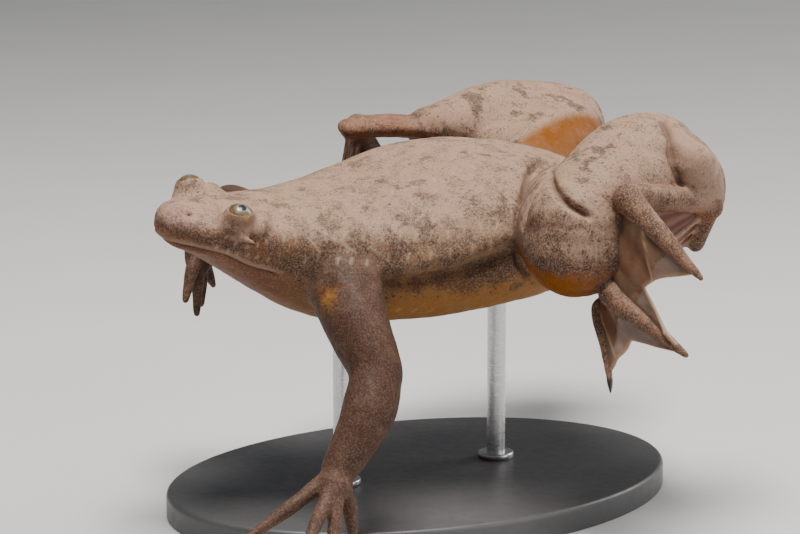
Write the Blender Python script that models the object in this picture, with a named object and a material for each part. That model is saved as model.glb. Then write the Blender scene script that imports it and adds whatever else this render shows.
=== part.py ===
"""A clawed frog, life size, held in the pose of a frog that swims just above the bottom, on a display stand.

Metres, +Z up. The frog faces -Y and its left side is towards +X. The origin is under the middle of the
stand's base, on the surface that the stand rests on. Every length below is in millimetres, and a place on
the frog is written (forward, left, up) from its vent, before the whole frog is pitched and rolled.
"""

import math

import bmesh
import bpy
from mathutils import Matrix, Vector

MM = 0.001
GAP = 0.3            # kept between two pieces that meet

# Driving dimensions
SVL = 50.0           # snout to vent, an adult of the species
PITCH = 5.0          # degrees, head up
ROLL = 9.0           # degrees, left side down
EYE_RADIUS = 1.40
WEB_THICK = 0.5
WEB_INSET = 0.02     # share of the space between two toes that a web leaves at each of them
TOE_TIP = 0.30       # radius at a toe's tip
INNER_RAY = 0.50     # how thick a toe is before its knuckle, as a share of its radius there
OUTER_RAY = 0.95     # and the same for the outermost toe
SOLE = ((0.0, 1.15), (0.5, 1.35), (1.0, 1.55))     # of the sole's root, from the inner toe to the outer
WEB_REACH = 0.93     # share of its toes that a web reaches
WEB_HOLLOW = 0.16    # how far its free edge draws in, as a share of that
PALM = (1.6, 1.5, 1.5)
PALM_REACH = 0.10    # from the wrist towards the finger joints
FINGER = ((0.0, 0.95), (0.35, 0.80), (0.70, 0.62), (1.0, 0.30))
CLAW_LENGTH = 0.9
CLAW_RADIUS = 0.28
CLAW_DROOP = 0.25
BASE_LENGTH = 52.0   # of the oval base, along the frog
BASE_WIDTH = 38.0
BASE_THICK = 2.4
BASE_CHAMFER = 0.5
ROD_RADIUS = 0.9
ROD_FRONT = 0.60     # how far forward of the vent each rod stands, as shares
ROD_BACK = 0.24
BODY_LIFT = 25.1     # the vent above the surface under the base, so that the left fingers clear the floor

# Trunk stations: forward, half width, top, widest level, bottom, all as shares of the snout-vent length
TRUNK = (
    (-0.015, 0.035, 0.048, 0.026, 0.004),
    (0.00, 0.075, 0.072, 0.026, -0.028),
    (0.05, 0.135, 0.106, 0.026, -0.068),
    (0.12, 0.190, 0.130, 0.022, -0.108),
    (0.22, 0.234, 0.141, 0.014, -0.132),
    (0.32, 0.250, 0.142, 0.006, -0.149),
    (0.42, 0.243, 0.126, -0.002, -0.168),
    (0.52, 0.218, 0.095, -0.010, -0.179),
    (0.62, 0.184, 0.066, -0.015, -0.180),
    (0.70, 0.158, 0.051, -0.017, -0.163),
    (0.76, 0.144, 0.045, -0.016, -0.136),
    (0.82, 0.132, 0.042, -0.013, -0.105),
    (0.875, 0.118, 0.040, -0.009, -0.076),
    (0.915, 0.101, 0.038, -0.006, -0.056),
    (0.947, 0.079, 0.034, -0.004, -0.043),
    (0.968, 0.055, 0.026, -0.003, -0.032),
    (0.980, 0.030, 0.015, -0.002, -0.019),
)
NECK_AT = 0.735      # where the head parts from the torso
VENT_TIP = 0.7       # how far the trunk's closing tips reach past the end stations
SNOUT_TIP = 0.2
BACK_SQUARE = 2.35   # exponent of the section's upper half
BELLY_SQUARE = 2.1   # and of its lower half

EYE_AT = (0.880, 0.087, 0.029)
EYE_MOUND = (1.97, 1.94, 1.86)
EYE_OUTWARD = (0.12, 0.42, 0.90)     # the way the eye looks
EYE_PROUD = 0.35                     # how far its centre lies from the mound's
LID_RADIUS = 1.52
LID_HEIGHT = 0.75                    # of the lid's ring over the eye's centre
LID_THICK = 0.24
NOSTRIL_AT = (0.952, 0.034)
NOSTRIL_RADIUS = 0.30
NOSTRIL_RIM = 0.14

# Line of the mouth: forward, up, from the corner of the jaw to the snout, as shares
MOUTH = (
    (0.790, -0.052),
    (0.850, -0.041),
    (0.890, -0.032),
    (0.920, -0.022),
    (0.950, -0.018),
    (0.985, -0.014),
)
MOUTH_TURN = 0.970   # where its two sides start to close round the snout
MOUTH_DEPTH = 0.45
MOUTH_OUT = 0.50     # how far the cut reaches out of the lips
MOUTH_OPEN = 0.22

# The feeler under each eye: root, middle, tip
FEELER = ((43.9, 5.2, -0.2), (43.3, 6.3, -0.4), (42.7, 7.3, -0.8))
FEELER_RADII = ((0.0, 0.30), (0.5, 0.26), (1.0, 0.16))

# Centre lines of the limbs, in millimetres: forward, left, up
THIGH_L = ((7.8, 5.6, 3.2), (13.1, 13.2, 4.0), (18.8, 20.9, 4.4))
CALF_L = ((18.7, 20.5, 5.6), (11.0, 16.6, 8.7), (4.8, 12.8, 10.0), (0.9, 9.4, 10.5))
ANKLE_L = ((0.9, 9.4, 10.5), (0.8, 12.8, 10.2), (1.9, 17.0, 9.2), (4.3, 20.6, 7.6))
# The roll of flesh over the left heel
HEEL_L = ((7.7, 17.1, 14.1), (7.9, 19.4, 13.1), (7.1, 20.3, 11.9), (6.1, 20.0, 10.4))
THIGH_R = ((5.3, -5.9, 1.2), (-1.6, -12.0, 2.6), (-7.8, -17.7, 4.0))
CALF_R = ((-7.8, -17.8, 4.4), (-2.6, -18.8, 3.7), (4.2, -17.6, 4.0), (10.1, -16.5, 4.6))
# The flesh that fills the bend of the right knee
HAM_R = ((-7.4, -17.6, 4.3), (-2.4, -15.2, 3.5), (2.6, -12.6, 2.9))
ANKLE_R = ((10.1, -16.5, 4.6), (15.0, -16.3, 4.9), (19.6, -16.1, 4.7))
UPPER_ARM_L = ((33.5, 7.0, -3.5), (34.2, 11.6, -6.4), (33.9, 15.2, -9.4))
FOREARM_L = ((33.9, 15.2, -9.4), (36.0, 17.4, -13.0), (39.0, 18.9, -16.8))
UPPER_ARM_R = ((34.0, -7.0, -3.3), (33.0, -12.5, -3.6), (31.7, -17.1, -3.8))
FOREARM_R = ((31.7, -17.1, -3.8), (34.0, -15.8, -5.3), (36.3, -14.1, -7.2))

# Where the toes leave the foot: the inner toe's root and the outer one's
TOE_ROOTS_L = ((5.0, 20.3, 3.9), (4.4, 20.75, 8.1))
TOE_ROOTS_R = ((20.4, -15.5, 4.6), (18.4, -16.9, 4.5))

# Toes 1 to 5, inner to outer: knuckle, tip, radius at the root
TOES_L = (
    ((8.8, 19.9, 2.8), (9.6, 19.6, -1.4), 0.62),
    ((12.4, 19.4, 0.0), (14.2, 22.8, -3.6), 0.70),
    ((16.5, 23.0, -0.9), (18.1, 27.9, -5.8), 0.86),
    ((17.8, 25.1, 1.2), (15.7, 34.6, -1.5), 1.12),
    ((17.3, 24.3, 9.9), (15.2, 34.0, 5.3), 1.22),
)
TOES_R = (
    ((20.5, -15.4, -4.0), (19.0, -15.0, -9.5), 0.62),
    ((20.0, -16.6, -6.0), (17.5, -16.2, -13.0), 0.70),
    ((18.6, -18.2, -7.5), (14.5, -17.8, -16.0), 0.80),
    ((15.0, -20.6, -7.0), (8.5, -21.2, -16.5), 1.12),
    ((9.5, -21.8, -3.4), (1.4, -23.8, -9.2), 1.22),
)
CLAWED_TOES = 3      # the inner three toes end in a claw

# Fingers, inner to outer: middle joint, tip
FINGERS_L = (
    ((44.0, 20.0, -19.4), (48.6, 20.3, -22.2)),
    ((42.4, 22.2, -19.2), (45.6, 24.7, -22.4)),
    ((40.9, 22.2, -19.8), (42.2, 24.8, -23.4)),
    ((38.2, 20.4, -19.8), (37.8, 21.6, -23.6)),
)
FINGERS_R = (
    ((37.6, -12.8, -8.4), (38.6, -11.6, -11.4)),
    ((36.4, -13.6, -9.6), (36.4, -12.8, -13.2)),
    ((35.4, -14.8, -9.6), (34.8, -14.8, -13.0)),
    ((34.6, -15.8, -9.0), (32.8, -16.4, -11.6)),
)

COLOURS = {
    "skin": ((0.42, 0.31, 0.23, 1.0), 0.45),
    "leg": ((0.43, 0.32, 0.25, 1.0), 0.45),
    "foot": ((0.36, 0.25, 0.19, 1.0), 0.40),
    "eye": ((0.03, 0.03, 0.03, 1.0), 0.08),
    "claw": ((0.03, 0.02, 0.02, 1.0), 0.30),
    "base": ((0.55, 0.53, 0.50, 1.0), 0.50),
    "rod": ((0.60, 0.60, 0.60, 1.0), 0.30),
}


for leftover in list(bpy.data.objects):
    bpy.data.objects.remove(leftover, do_unlink=True)


def material(kind, metallic=0.0):
    """The one material of this kind, made the first time it is asked for."""
    if kind in bpy.data.materials:
        return bpy.data.materials[kind]
    made = bpy.data.materials.new(kind)
    made.use_nodes = True
    shader = made.node_tree.nodes["Principled BSDF"]
    colour, roughness = COLOURS[kind]
    shader.inputs["Base Color"].default_value = colour
    shader.inputs["Roughness"].default_value = roughness
    shader.inputs["Metallic"].default_value = metallic
    return made


# The frog's own frame: an empty that pitches and rolls it, and lifts it over the base
frog = bpy.data.objects.new("frog", None)
bpy.context.scene.collection.objects.link(frog)
frog_turn = Matrix.Rotation(math.radians(-PITCH), 4, "X") @ Matrix.Rotation(math.radians(ROLL), 4, "Y")
BODY_SHIFT = 0.42 * SVL    # brings the middle of the trunk over the origin
frog.matrix_world = Matrix.Translation((0.0, BODY_SHIFT * MM, BODY_LIFT * MM)) @ frog_turn


def at(place):
    """A place (forward, left, up) in millimetres, as a point of the frog's frame in metres."""
    forward, left, up = place
    return Vector((left, -forward, up)) * MM


def shares(place):
    """A place given in shares of the snout-vent length, in millimetres."""
    return tuple(SVL * value for value in place)


def mirrored(place):
    return (place[0], -place[1], place[2])


def object_of(name, points, faces, kind, parent=frog, metallic=0.0):
    mesh = bpy.data.meshes.new(name)
    mesh.from_pydata([tuple(point) for point in points], [], faces)
    whole = bmesh.new()
    whole.from_mesh(mesh)
    bmesh.ops.recalc_face_normals(whole, faces=whole.faces)
    whole.to_mesh(mesh)
    whole.free()
    mesh.materials.append(material(kind, metallic))
    made = bpy.data.objects.new(name, mesh)
    bpy.context.scene.collection.objects.link(made)
    made.parent = parent
    return made


def settle(piece):
    """Gives the piece the mesh that its modifiers make, and drops them."""
    bpy.context.view_layer.update()
    graph = bpy.context.evaluated_depsgraph_get()
    mesh = bpy.data.meshes.new_from_object(piece.evaluated_get(graph))
    piece.modifiers.clear()
    old = piece.data
    piece.data = mesh
    bpy.data.meshes.remove(old)


def keep_largest(piece):
    """Keeps the largest closed surface of the piece."""
    whole = bmesh.new()
    whole.from_mesh(piece.data)
    left = set(whole.faces)
    islands = []
    while left:
        front = [left.pop()]
        island = set(front)
        while front:
            for edge in front.pop().edges:
                for face in edge.link_faces:
                    if face in left:
                        left.remove(face)
                        island.add(face)
                        front.append(face)
        islands.append(island)
    islands.sort(key=lambda island: sum(face.calc_area() for face in island))
    for island in islands[:-1]:
        bmesh.ops.delete(whole, geom=list(island), context="FACES")
    whole.to_mesh(piece.data)
    whole.free()


def boolean(piece, others, operation, solver="EXACT"):
    """Joins the other pieces to this one or cuts them from it, and removes them."""
    group = bpy.data.collections.new("tools")
    bpy.context.scene.collection.children.link(group)
    for other in others:
        bpy.context.scene.collection.objects.unlink(other)
        group.objects.link(other)
    modifier = piece.modifiers.new("join", "BOOLEAN")
    modifier.operation = operation
    modifier.operand_type = "COLLECTION"
    modifier.collection = group
    modifier.solver = solver
    settle(piece)
    for other in others:
        bpy.data.objects.remove(other, do_unlink=True)
    bpy.data.collections.remove(group)
    keep_largest(piece)


def finish(piece):
    """Splits the faces into triangles and shades the piece smooth up to its sharp edges."""
    whole = bmesh.new()
    whole.from_mesh(piece.data)
    bmesh.ops.triangulate(whole, faces=whole.faces)
    whole.to_mesh(piece.data)
    whole.free()
    piece.data.shade_smooth()
    piece.data.set_sharp_from_angle(angle=math.radians(45))
    return piece


def table_value(table, where, column):
    """The column of a table at a place between its rows, on a smooth curve through them."""
    last = len(table) - 1
    row = 0
    while row < last - 1 and where > table[row + 1][0]:
        row += 1

    def slope(index):
        low, high = max(index - 1, 0), min(index + 1, last)
        return (table[high][column] - table[low][column]) / (table[high][0] - table[low][0])

    start, end = table[row], table[row + 1]
    step = end[0] - start[0]
    part = min(max((where - start[0]) / step, 0.0), 1.0)
    square, cube = part * part, part * part * part
    return (
        (2 * cube - 3 * square + 1) * start[column]
        + (cube - 2 * square + part) * step * slope(row)
        + (3 * square - 2 * cube) * end[column]
        + (cube - square) * step * slope(row + 1)
    )


def power(value, exponent):
    return math.copysign(abs(value) ** exponent, value)


def trunk_point(forward, angle, grow):
    """A point of the trunk's surface, from 0 at the left side over the back at a quarter turn."""
    width = SVL * table_value(TRUNK, forward, 1) + grow
    top = SVL * table_value(TRUNK, forward, 2) + grow
    level = SVL * table_value(TRUNK, forward, 3)
    bottom = SVL * table_value(TRUNK, forward, 4) - grow
    square = BACK_SQUARE if math.sin(angle) > 0 else BELLY_SQUARE
    height = top - level if math.sin(angle) > 0 else level - bottom
    left = width * power(math.cos(angle), 2 / square)
    up = level + height * power(math.sin(angle), 2 / square)
    return left, up


def loft(name, rings, kind, parent=frog):
    """A closed skin over rings of points; a ring of one point is a tip."""
    points = [point for ring in rings for point in ring]
    faces = []
    start = 0
    for ring, following in zip(rings, rings[1:]):
        second = start + len(ring)
        count = max(len(ring), len(following))
        for index in range(count):
            after = (index + 1) % count
            if len(ring) == 1:
                faces.append((start, second + index, second + after))
            elif len(following) == 1:
                faces.append((start + after, start + index, second))
            else:
                faces.append((start + after, start + index, second + index, second + after))
        start = second
    for ring, offset in ((rings[0], 0), (rings[-1], len(points) - len(rings[-1]))):
        if len(ring) > 1:
            faces.append(tuple(range(offset, offset + len(ring))))
    return object_of(name, points, faces, kind, parent)


def trunk(name, first, last, steps, sides, grow=0.0):
    """The trunk from one station to another, with a tip at the vent or at the snout where it reaches that."""
    rings = []
    low, high = TRUNK[0][0], TRUNK[-1][0]
    for step in range(steps + 1):
        forward = first + (last - first) * step / steps
        ring = []
        for side in range(sides):
            left, up = trunk_point(forward, 2 * math.pi * side / sides, grow)
            ring.append(at((SVL * forward, left, up)))
        rings.append(ring)
    if first <= low:
        rings.insert(0, [at((SVL * low - VENT_TIP - grow, 0.0, SVL * TRUNK[0][3]))])
    if last >= high:
        rings.append([at((SVL * high + SNOUT_TIP + grow, 0.0, SVL * TRUNK[-1][3]))])
    return loft(name, rings, "skin")


def curve_point(points, where):
    """A point on a smooth curve through the points, from 0 at the first to 1 at the last."""
    count = len(points) - 1
    row = min(int(where * count), count - 1)
    part = where * count - row
    before = points[max(row - 1, 0)]
    start = points[row]
    end = points[row + 1]
    after = points[min(row + 2, count)]
    square, cube = part * part, part * part * part
    return (
        start * (2 * cube - 3 * square + 1)
        + end * (3 * square - 2 * cube)
        + (end - before) * 0.5 * (cube - 2 * square + part)
        + (after - start) * 0.5 * (cube - square)
    )


def sweep(
    name, places, radii, kind, sides=16, steps=14, grow=0.0, cap=3, flat=1.0, thin=(0.0, 0.0, 1.0)
):
    """A limb along a smooth curve, with its radius from a table and ends rounded by some rings.

    flat is its thickness along thin, as a share of its width."""
    points = [at(place) for place in places]
    rings = []
    first, last = radii[0][1] + grow, radii[-1][1] + grow
    stations = []
    for step in range(cap):
        turn = 0.5 * math.pi * (step + 0.35) / cap
        stations.append((0.0, -first * math.cos(turn), math.sin(turn)))
    stations += [(step / steps, 0.0, 1.0) for step in range(steps + 1)]
    for step in reversed(range(cap)):
        turn = 0.5 * math.pi * (step + 0.35) / cap
        stations.append((1.0, last * math.cos(turn), math.sin(turn)))
    tiny = 0.001
    for where, beyond, share in stations:
        ahead = curve_point(points, min(where + tiny, 1.0)) - curve_point(points, max(where - tiny, 0.0))
        along = ahead.normalized()
        side = along.cross(at(thin)).normalized()
        over = side.cross(along)
        centre = curve_point(points, where) + along * beyond * MM
        width = (table_value(radii, where, 1) + grow) * share * MM
        height = (table_value(radii, where, 1) * flat + grow) * share * MM
        rings.append([
            centre + side * width * math.cos(2 * math.pi * index / sides)
            + over * height * math.sin(2 * math.pi * index / sides)
            for index in range(sides)
        ])
    start = curve_point(points, 0.0) - (curve_point(points, tiny) - points[0]).normalized() * first * MM
    end = points[-1] + (points[-1] - curve_point(points, 1.0 - tiny)).normalized() * last * MM
    return loft(name, [[start]] + rings + [[end]], kind)


def ellipsoid(name, place, radii, kind, sides=20, rings=12, parent=frog):
    """A ball stretched along forward, left and up."""
    mesh = bpy.data.meshes.new(name)
    whole = bmesh.new()
    bmesh.ops.create_uvsphere(whole, u_segments=sides, v_segments=rings, radius=1.0)
    forward, left, up = radii
    bmesh.ops.scale(whole, vec=(left * MM, forward * MM, up * MM), verts=whole.verts)
    bmesh.ops.translate(whole, vec=at(place), verts=whole.verts)
    whole.to_mesh(mesh)
    whole.free()
    mesh.materials.append(material(kind))
    made = bpy.data.objects.new(name, mesh)
    bpy.context.scene.collection.objects.link(made)
    made.parent = parent
    return made


# Torso, and the whole trunk from vent to snout, which the limbs are cut to
def trunk_cutter():
    return trunk("cutter", TRUNK[0][0], TRUNK[-1][0], 32, 32, GAP)


torso = trunk("torso", TRUNK[0][0], NECK_AT, 22, 32)

# Head: mounds and lids for the eyes, nostrils, feelers and the line of the mouth
def ring(name, centre, axis, major, minor, sides=12, across=5):
    """A ring of round section about an axis, both given as (forward, left, up)."""
    middle, along = at(centre), at(axis).normalized()
    first = along.orthogonal().normalized()
    second = along.cross(first)
    points = []
    for index in range(sides):
        turn = 2 * math.pi * index / sides
        outward = first * math.cos(turn) + second * math.sin(turn)
        for step in range(across):
            around = 2 * math.pi * step / across
            points.append(middle + (outward * (major + minor * math.cos(around))
                                    + along * minor * math.sin(around)) * MM)
    faces = []
    for index in range(sides):
        for step in range(across):
            after, beside = (index + 1) % sides, (step + 1) % across
            faces.append((
                index * across + step, index * across + beside, after * across + beside, after * across + step
            ))
    return object_of(name, points, faces, "skin")


def top_of_head(forward, left):
    """The height of the head's upper surface, in shares."""
    width, top, level = (table_value(TRUNK, forward, column) for column in (1, 2, 3))
    return level + (top - level) * (1 - (left / width) ** BACK_SQUARE) ** (1 / BACK_SQUARE)


def mouth_cutter(name):
    """A thin wedge that follows the line of the mouth from one corner of the jaw round the snout to the other."""
    half = []
    steps = 7
    for step in range(steps + 1):
        forward = MOUTH[0][0] + (MOUTH_TURN - MOUTH[0][0]) * math.sin(0.5 * math.pi * step / steps)
        up = table_value(MOUTH, forward, 1)
        width, level, bottom = (table_value(TRUNK, forward, column) for column in (1, 3, 4))
        depth = min((level - up) / (level - bottom), 0.98)
        half.append((SVL * forward, SVL * width * (1 - depth ** BELLY_SQUARE) ** (1 / BELLY_SQUARE), SVL * up))
    line = half + [(SVL * TRUNK[-1][0], 0.0, SVL * MOUTH[-1][1])] + [mirrored(place) for place in reversed(half)]
    rings = []
    for index, place in enumerate(line):
        before, after = line[max(index - 1, 0)], line[min(index + 1, len(line) - 1)]
        ahead, aside = after[0] - before[0], after[1] - before[1]
        length = math.hypot(ahead, aside)
        outward = (-aside / length, ahead / length)
        outer = (place[0] + MOUTH_OUT * outward[0], place[1] + MOUTH_OUT * outward[1])
        inner = (place[0] - MOUTH_DEPTH * outward[0], place[1] - MOUTH_DEPTH * outward[1])
        rings.append([
            at((outer[0], outer[1], place[2] + MOUTH_OPEN)),
            at((outer[0], outer[1], place[2] - MOUTH_OPEN)),
            at((inner[0], inner[1], place[2])),
        ])
    return loft(name, rings, "skin")


head = trunk("head", NECK_AT + GAP / SVL, TRUNK[-1][0], 13, 32)
eyes = {}
added, removed = [], []
for side in ("left", "right"):
    turned = tuple if side == "left" else mirrored
    centre, outward = turned(shares(EYE_AT)), turned(EYE_OUTWARD)
    eye_centre = tuple(c + EYE_PROUD * o for c, o in zip(centre, outward))
    rim = tuple(c + LID_HEIGHT * o for c, o in zip(eye_centre, outward))
    nostril = turned(shares((NOSTRIL_AT[0], NOSTRIL_AT[1], top_of_head(*NOSTRIL_AT))))
    added.append(ellipsoid("mound", centre, EYE_MOUND, "skin", 14, 8))
    added.append(ring("lid", rim, outward, LID_RADIUS, LID_THICK))
    added.append(ring("rim", nostril, turned((0.3, 0.5, 0.8)), NOSTRIL_RADIUS, NOSTRIL_RIM, 8, 4))
    added.append(sweep("feeler", [turned(place) for place in FEELER], FEELER_RADII, "skin", 5, 3, cap=1))
    removed.append(ellipsoid("socket", eye_centre, [EYE_RADIUS + GAP] * 3, "skin", 14, 8))
    removed.append(ellipsoid("nostril", nostril, [NOSTRIL_RADIUS] * 3, "skin", 6, 4))
    eyes[side] = ellipsoid("eye_" + side, eye_centre, [EYE_RADIUS] * 3, "eye", 14, 8)
boolean(head, added, "UNION")
boolean(head, removed, "DIFFERENCE")
boolean(head, [mouth_cutter("mouth")], "DIFFERENCE")

# Limb forms: name, joints, radii along the limb, flatness
THIGH = ((0.0, 3.8), (0.25, 4.8), (0.55, 5.4), (0.8, 5.3), (1.0, 4.9))
CALF = ((0.0, 4.8), (0.25, 5.4), (0.45, 5.4), (0.7, 4.2), (0.9, 2.7), (1.0, 2.3))
ANKLE = ((0.0, 2.0), (0.5, 2.0), (1.0, 1.65))
HEEL = ((0.0, 1.05), (0.33, 1.3), (0.66, 2.15), (1.0, 2.2))
HAM = ((0.0, 4.8), (0.5, 4.9), (1.0, 3.6))
ANKLE_FLAT = 0.55
ANKLE_THIN = {"left": (0.55, 0.80, 0.20), "right": (0.0, 0.0, 1.0)}     # the way across its thin side
UPPER_ARM = ((0.0, 3.6), (0.5, 2.9), (1.0, 2.35))
FOREARM = ((0.0, 2.3), (0.35, 2.5), (0.75, 1.95), (1.0, 1.6))


def limb_forms(side):
    """Each length of this side's limbs, from the trunk outwards, as functions of how far they are grown."""
    lines = {
        "left": (THIGH_L, CALF_L, ANKLE_L, UPPER_ARM_L, FOREARM_L),
        "right": (THIGH_R, CALF_R, ANKLE_R, UPPER_ARM_R, FOREARM_R),
    }
    thigh, calf, ankle, upper_arm, forearm = lines[side]
    return {
        "thigh": lambda name, grow=0.0: sweep(name, thigh, THIGH, "leg", 18, 9, grow),
        "calf": lambda name, grow=0.0: sweep(name, calf, CALF, "leg", 18, 12, grow),
        "ankle": lambda name, grow=0.0: sweep(
            name, ankle, ANKLE, "leg", 12, 6, grow, flat=ANKLE_FLAT, thin=ANKLE_THIN[side]
        ),
        "upper_arm": lambda name, grow=0.0: sweep(name, upper_arm, UPPER_ARM, "skin", 14, 7, grow),
        "forearm": lambda name, grow=0.0: sweep(name, forearm, FOREARM, "skin", 14, 7, grow),
    }


def toe_line(root, knuckle, tip):
    """A toe's centre line: out from the foot's root, over the knuckle and down to the tip."""
    root, knuckle, tip = Vector(root), Vector(knuckle), Vector(tip)
    return [root, root.lerp(knuckle, 0.55), root.lerp(knuckle, 0.93), knuckle.lerp(tip, 0.12),
            knuckle.lerp(tip, 0.55), tip]


def web(name, first, second, reach, hollow):
    """A sheet between two toes, from their roots to a hollow free edge."""
    along, across = 9, 3
    lines = [[at(place) for place in line] for line in (first, second)]
    grid = []
    for row in range(along + 1):
        for column in range(across + 1):
            aside = WEB_INSET + (1 - 2 * WEB_INSET) * column / across
            edge = reach * (1 - hollow * math.sin(math.pi * aside))
            where = 0.03 + (edge - 0.03) * row / along
            grid.append(curve_point(lines[0], where).lerp(curve_point(lines[1], where), aside))
    width = across + 1

    def point(row, column):
        return grid[row * width + column]

    normals = []
    for row in range(along + 1):
        for column in range(across + 1):
            ahead = point(min(row + 1, along), column) - point(max(row - 1, 0), column)
            aside = point(row, min(column + 1, across)) - point(row, max(column - 1, 0))
            normals.append(ahead.cross(aside).normalized())
    half = 0.5 * WEB_THICK * MM
    points = [p + n * half for p, n in zip(grid, normals)] + [p - n * half for p, n in zip(grid, normals)]
    under = len(grid)
    faces = []
    for row in range(along):
        for column in range(across):
            a = row * width + column
            b, c, d = a + 1, a + width + 1, a + width
            faces += [(a, b, c), (a, c, d), (under + c, under + b, under + a), (under + d, under + c, under + a)]
    rim = [row * width for row in range(along)] + [along * width + column for column in range(across)]
    rim += [row * width + across for row in range(along, 0, -1)] + [column for column in range(across, 0, -1)]
    for index, start in enumerate(rim):
        end = rim[(index + 1) % len(rim)]
        faces += [(start, under + start, under + end), (start, under + end, end)]
    return object_of(name, points, faces, "foot")


def foot_form(name, roots, toes):
    """Five toes that fan out from the sole's root, joined by webs."""
    lines = []
    pieces = []
    count = len(toes)
    for index, (knuckle, tip, radius) in enumerate(toes):
        start = Vector(roots[0]).lerp(Vector(roots[1]), index / (count - 1))
        lines.append(toe_line(start, knuckle, tip))
        early = radius * (OUTER_RAY if index == count - 1 else INNER_RAY)
        table = (
            (0.0, early), (0.32, early), (0.5, radius * 1.1), (0.65, radius * 0.95), (0.85, radius * 0.62), (1.0, TOE_TIP)
        )
        pieces.append(sweep("toe", lines[-1], table, "foot", 7, 11, cap=2))
    for index in range(count - 1):
        pieces.append(web("web", lines[index], lines[index + 1], WEB_REACH, WEB_HOLLOW))
    sole = sweep(name, roots, SOLE, "foot", 12, 5)
    boolean(sole, pieces, "UNION")
    return sole


def hand_form(name, wrist, fingers):
    """A palm and four slim fingers."""
    pieces = []
    middle = Vector(wrist)
    for index, (joint, tip) in enumerate(fingers):
        line = [Vector(wrist), Vector(wrist).lerp(Vector(joint), 0.6), Vector(joint), Vector(tip)]
        middle += (Vector(joint) - Vector(wrist)) * PALM_REACH
        pieces.append(sweep("finger", line, FINGER, "foot", 6, 7, cap=2))
    palm = ellipsoid(name, middle, PALM, "foot", 12, 8)
    boolean(palm, pieces, "UNION")
    return palm


def claw_form(name, tip, before):
    """A short black claw: a cone that starts flat at the toe's tip and droops a little."""
    tip, before = Vector(tip), Vector(before)
    along = (tip - before).normalized()
    start = tip + along * (TOE_TIP + GAP)
    turned = at(along).normalized()
    side = turned.orthogonal().normalized()
    over = turned.cross(side)
    corners = 7
    rings = []
    for share, width in ((0.0, 1.0), (0.35, 0.85), (0.7, 0.5)):
        droop = Vector((0.0, 0.0, -CLAW_DROOP * share * share))
        centre = at(start + along * CLAW_LENGTH * share + droop)
        rings.append([
            centre + (side * math.cos(2 * math.pi * index / corners) + over * math.sin(2 * math.pi * index / corners))
            * CLAW_RADIUS * width * MM
            for index in range(corners)
        ])
    rings.append([at(start + along * CLAW_LENGTH + Vector((0.0, 0.0, -CLAW_DROOP)))])
    return loft(name, rings, "claw")


sides = {
    "left": (TOE_ROOTS_L, TOES_L, FOREARM_L[-1], FINGERS_L),
    "right": (TOE_ROOTS_R, TOES_R, FOREARM_R[-1], FINGERS_R),
}
nodes = [torso, head, *eyes.values()]
for side, (foot_roots, toes, wrist, fingers) in sides.items():
    forms = limb_forms(side)
    made = {name: form(f"{name}_{side}") for name, form in forms.items()}
    foot = foot_form(f"foot_{side}", foot_roots, toes)
    hand = hand_form(f"hand_{side}", wrist, fingers)
    before = {
        "thigh": (), "calf": ("thigh",), "ankle": ("thigh", "calf"),
        "upper_arm": (), "forearm": ("upper_arm",),
    }
    heel_cutters = []
    if side == "left":
        boolean(made["ankle"], [sweep("heel", HEEL_L, HEEL, "leg", 10, 7)], "UNION")
        heel_cutters = [sweep("cutter", HEEL_L, HEEL, "leg", 10, 7, GAP)]
    if side == "right":
        boolean(made["thigh"], [sweep("ham", HAM_R, HAM, "leg", 16, 7)], "UNION")
        boolean(made["calf"], [sweep("cutter", HAM_R, HAM, "leg", 16, 7, GAP)], "DIFFERENCE")
    for name, piece in made.items():
        cutters = [forms[other]("cutter", GAP) for other in before[name]]
        boolean(piece, cutters + [trunk_cutter()], "DIFFERENCE")
    cutters = [forms[name]("cutter", GAP) for name in ("thigh", "calf", "ankle")]
    boolean(foot, cutters + heel_cutters + [trunk_cutter()], "DIFFERENCE")
    boolean(hand, [forms["forearm"]("cutter", GAP), trunk_cutter()], "DIFFERENCE")
    nodes += [*made.values(), foot, hand]
    for index in range(CLAWED_TOES):
        knuckle, tip, radius = toes[index]
        nodes.append(claw_form(f"claw_{side}_{index + 1}", tip, knuckle))

# Stand: an oval base, and two rods up to the breast and the pelvis
def base_form():
    """The oval base, with a chamfer round its top."""
    count = 48
    rings = []
    for height, inset in ((0.0, 0.0), (BASE_THICK - BASE_CHAMFER, 0.0), (BASE_THICK, BASE_CHAMFER)):
        rings.append([
            Vector((
                (BASE_WIDTH / 2 - inset) * math.cos(2 * math.pi * index / count),
                (BASE_LENGTH / 2 - inset) * math.sin(2 * math.pi * index / count),
                height,
            )) * MM
            for index in range(count)
        ])
    return loft("stand_base", rings, "base", None)


def rod_form(name, forward):
    """A round rod from the base up to the underside of the trunk."""
    foot = frog.matrix_world @ at((forward, 0.0, 0.0))
    low, high = (BASE_THICK + GAP) * MM, foot.z
    rings = []
    for height in (low, high):
        rings.append([
            Vector((
                foot.x + ROD_RADIUS * MM * math.cos(2 * math.pi * index / 16),
                foot.y + ROD_RADIUS * MM * math.sin(2 * math.pi * index / 16),
                height,
            ))
            for index in range(16)
        ])
    made = loft(name, rings, "rod", None)
    boolean(made, [trunk_cutter()], "DIFFERENCE")
    return made


bpy.context.view_layer.update()
nodes.append(base_form())
nodes.append(rod_form("stand_rod_front", ROD_FRONT * SVL))
nodes.append(rod_form("stand_rod_back", ROD_BACK * SVL))

for node in nodes:
    finish(node)
bpy.context.view_layer.update()
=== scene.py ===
import math

import bpy
import numpy as np
from mathutils import Matrix, Vector


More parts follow.
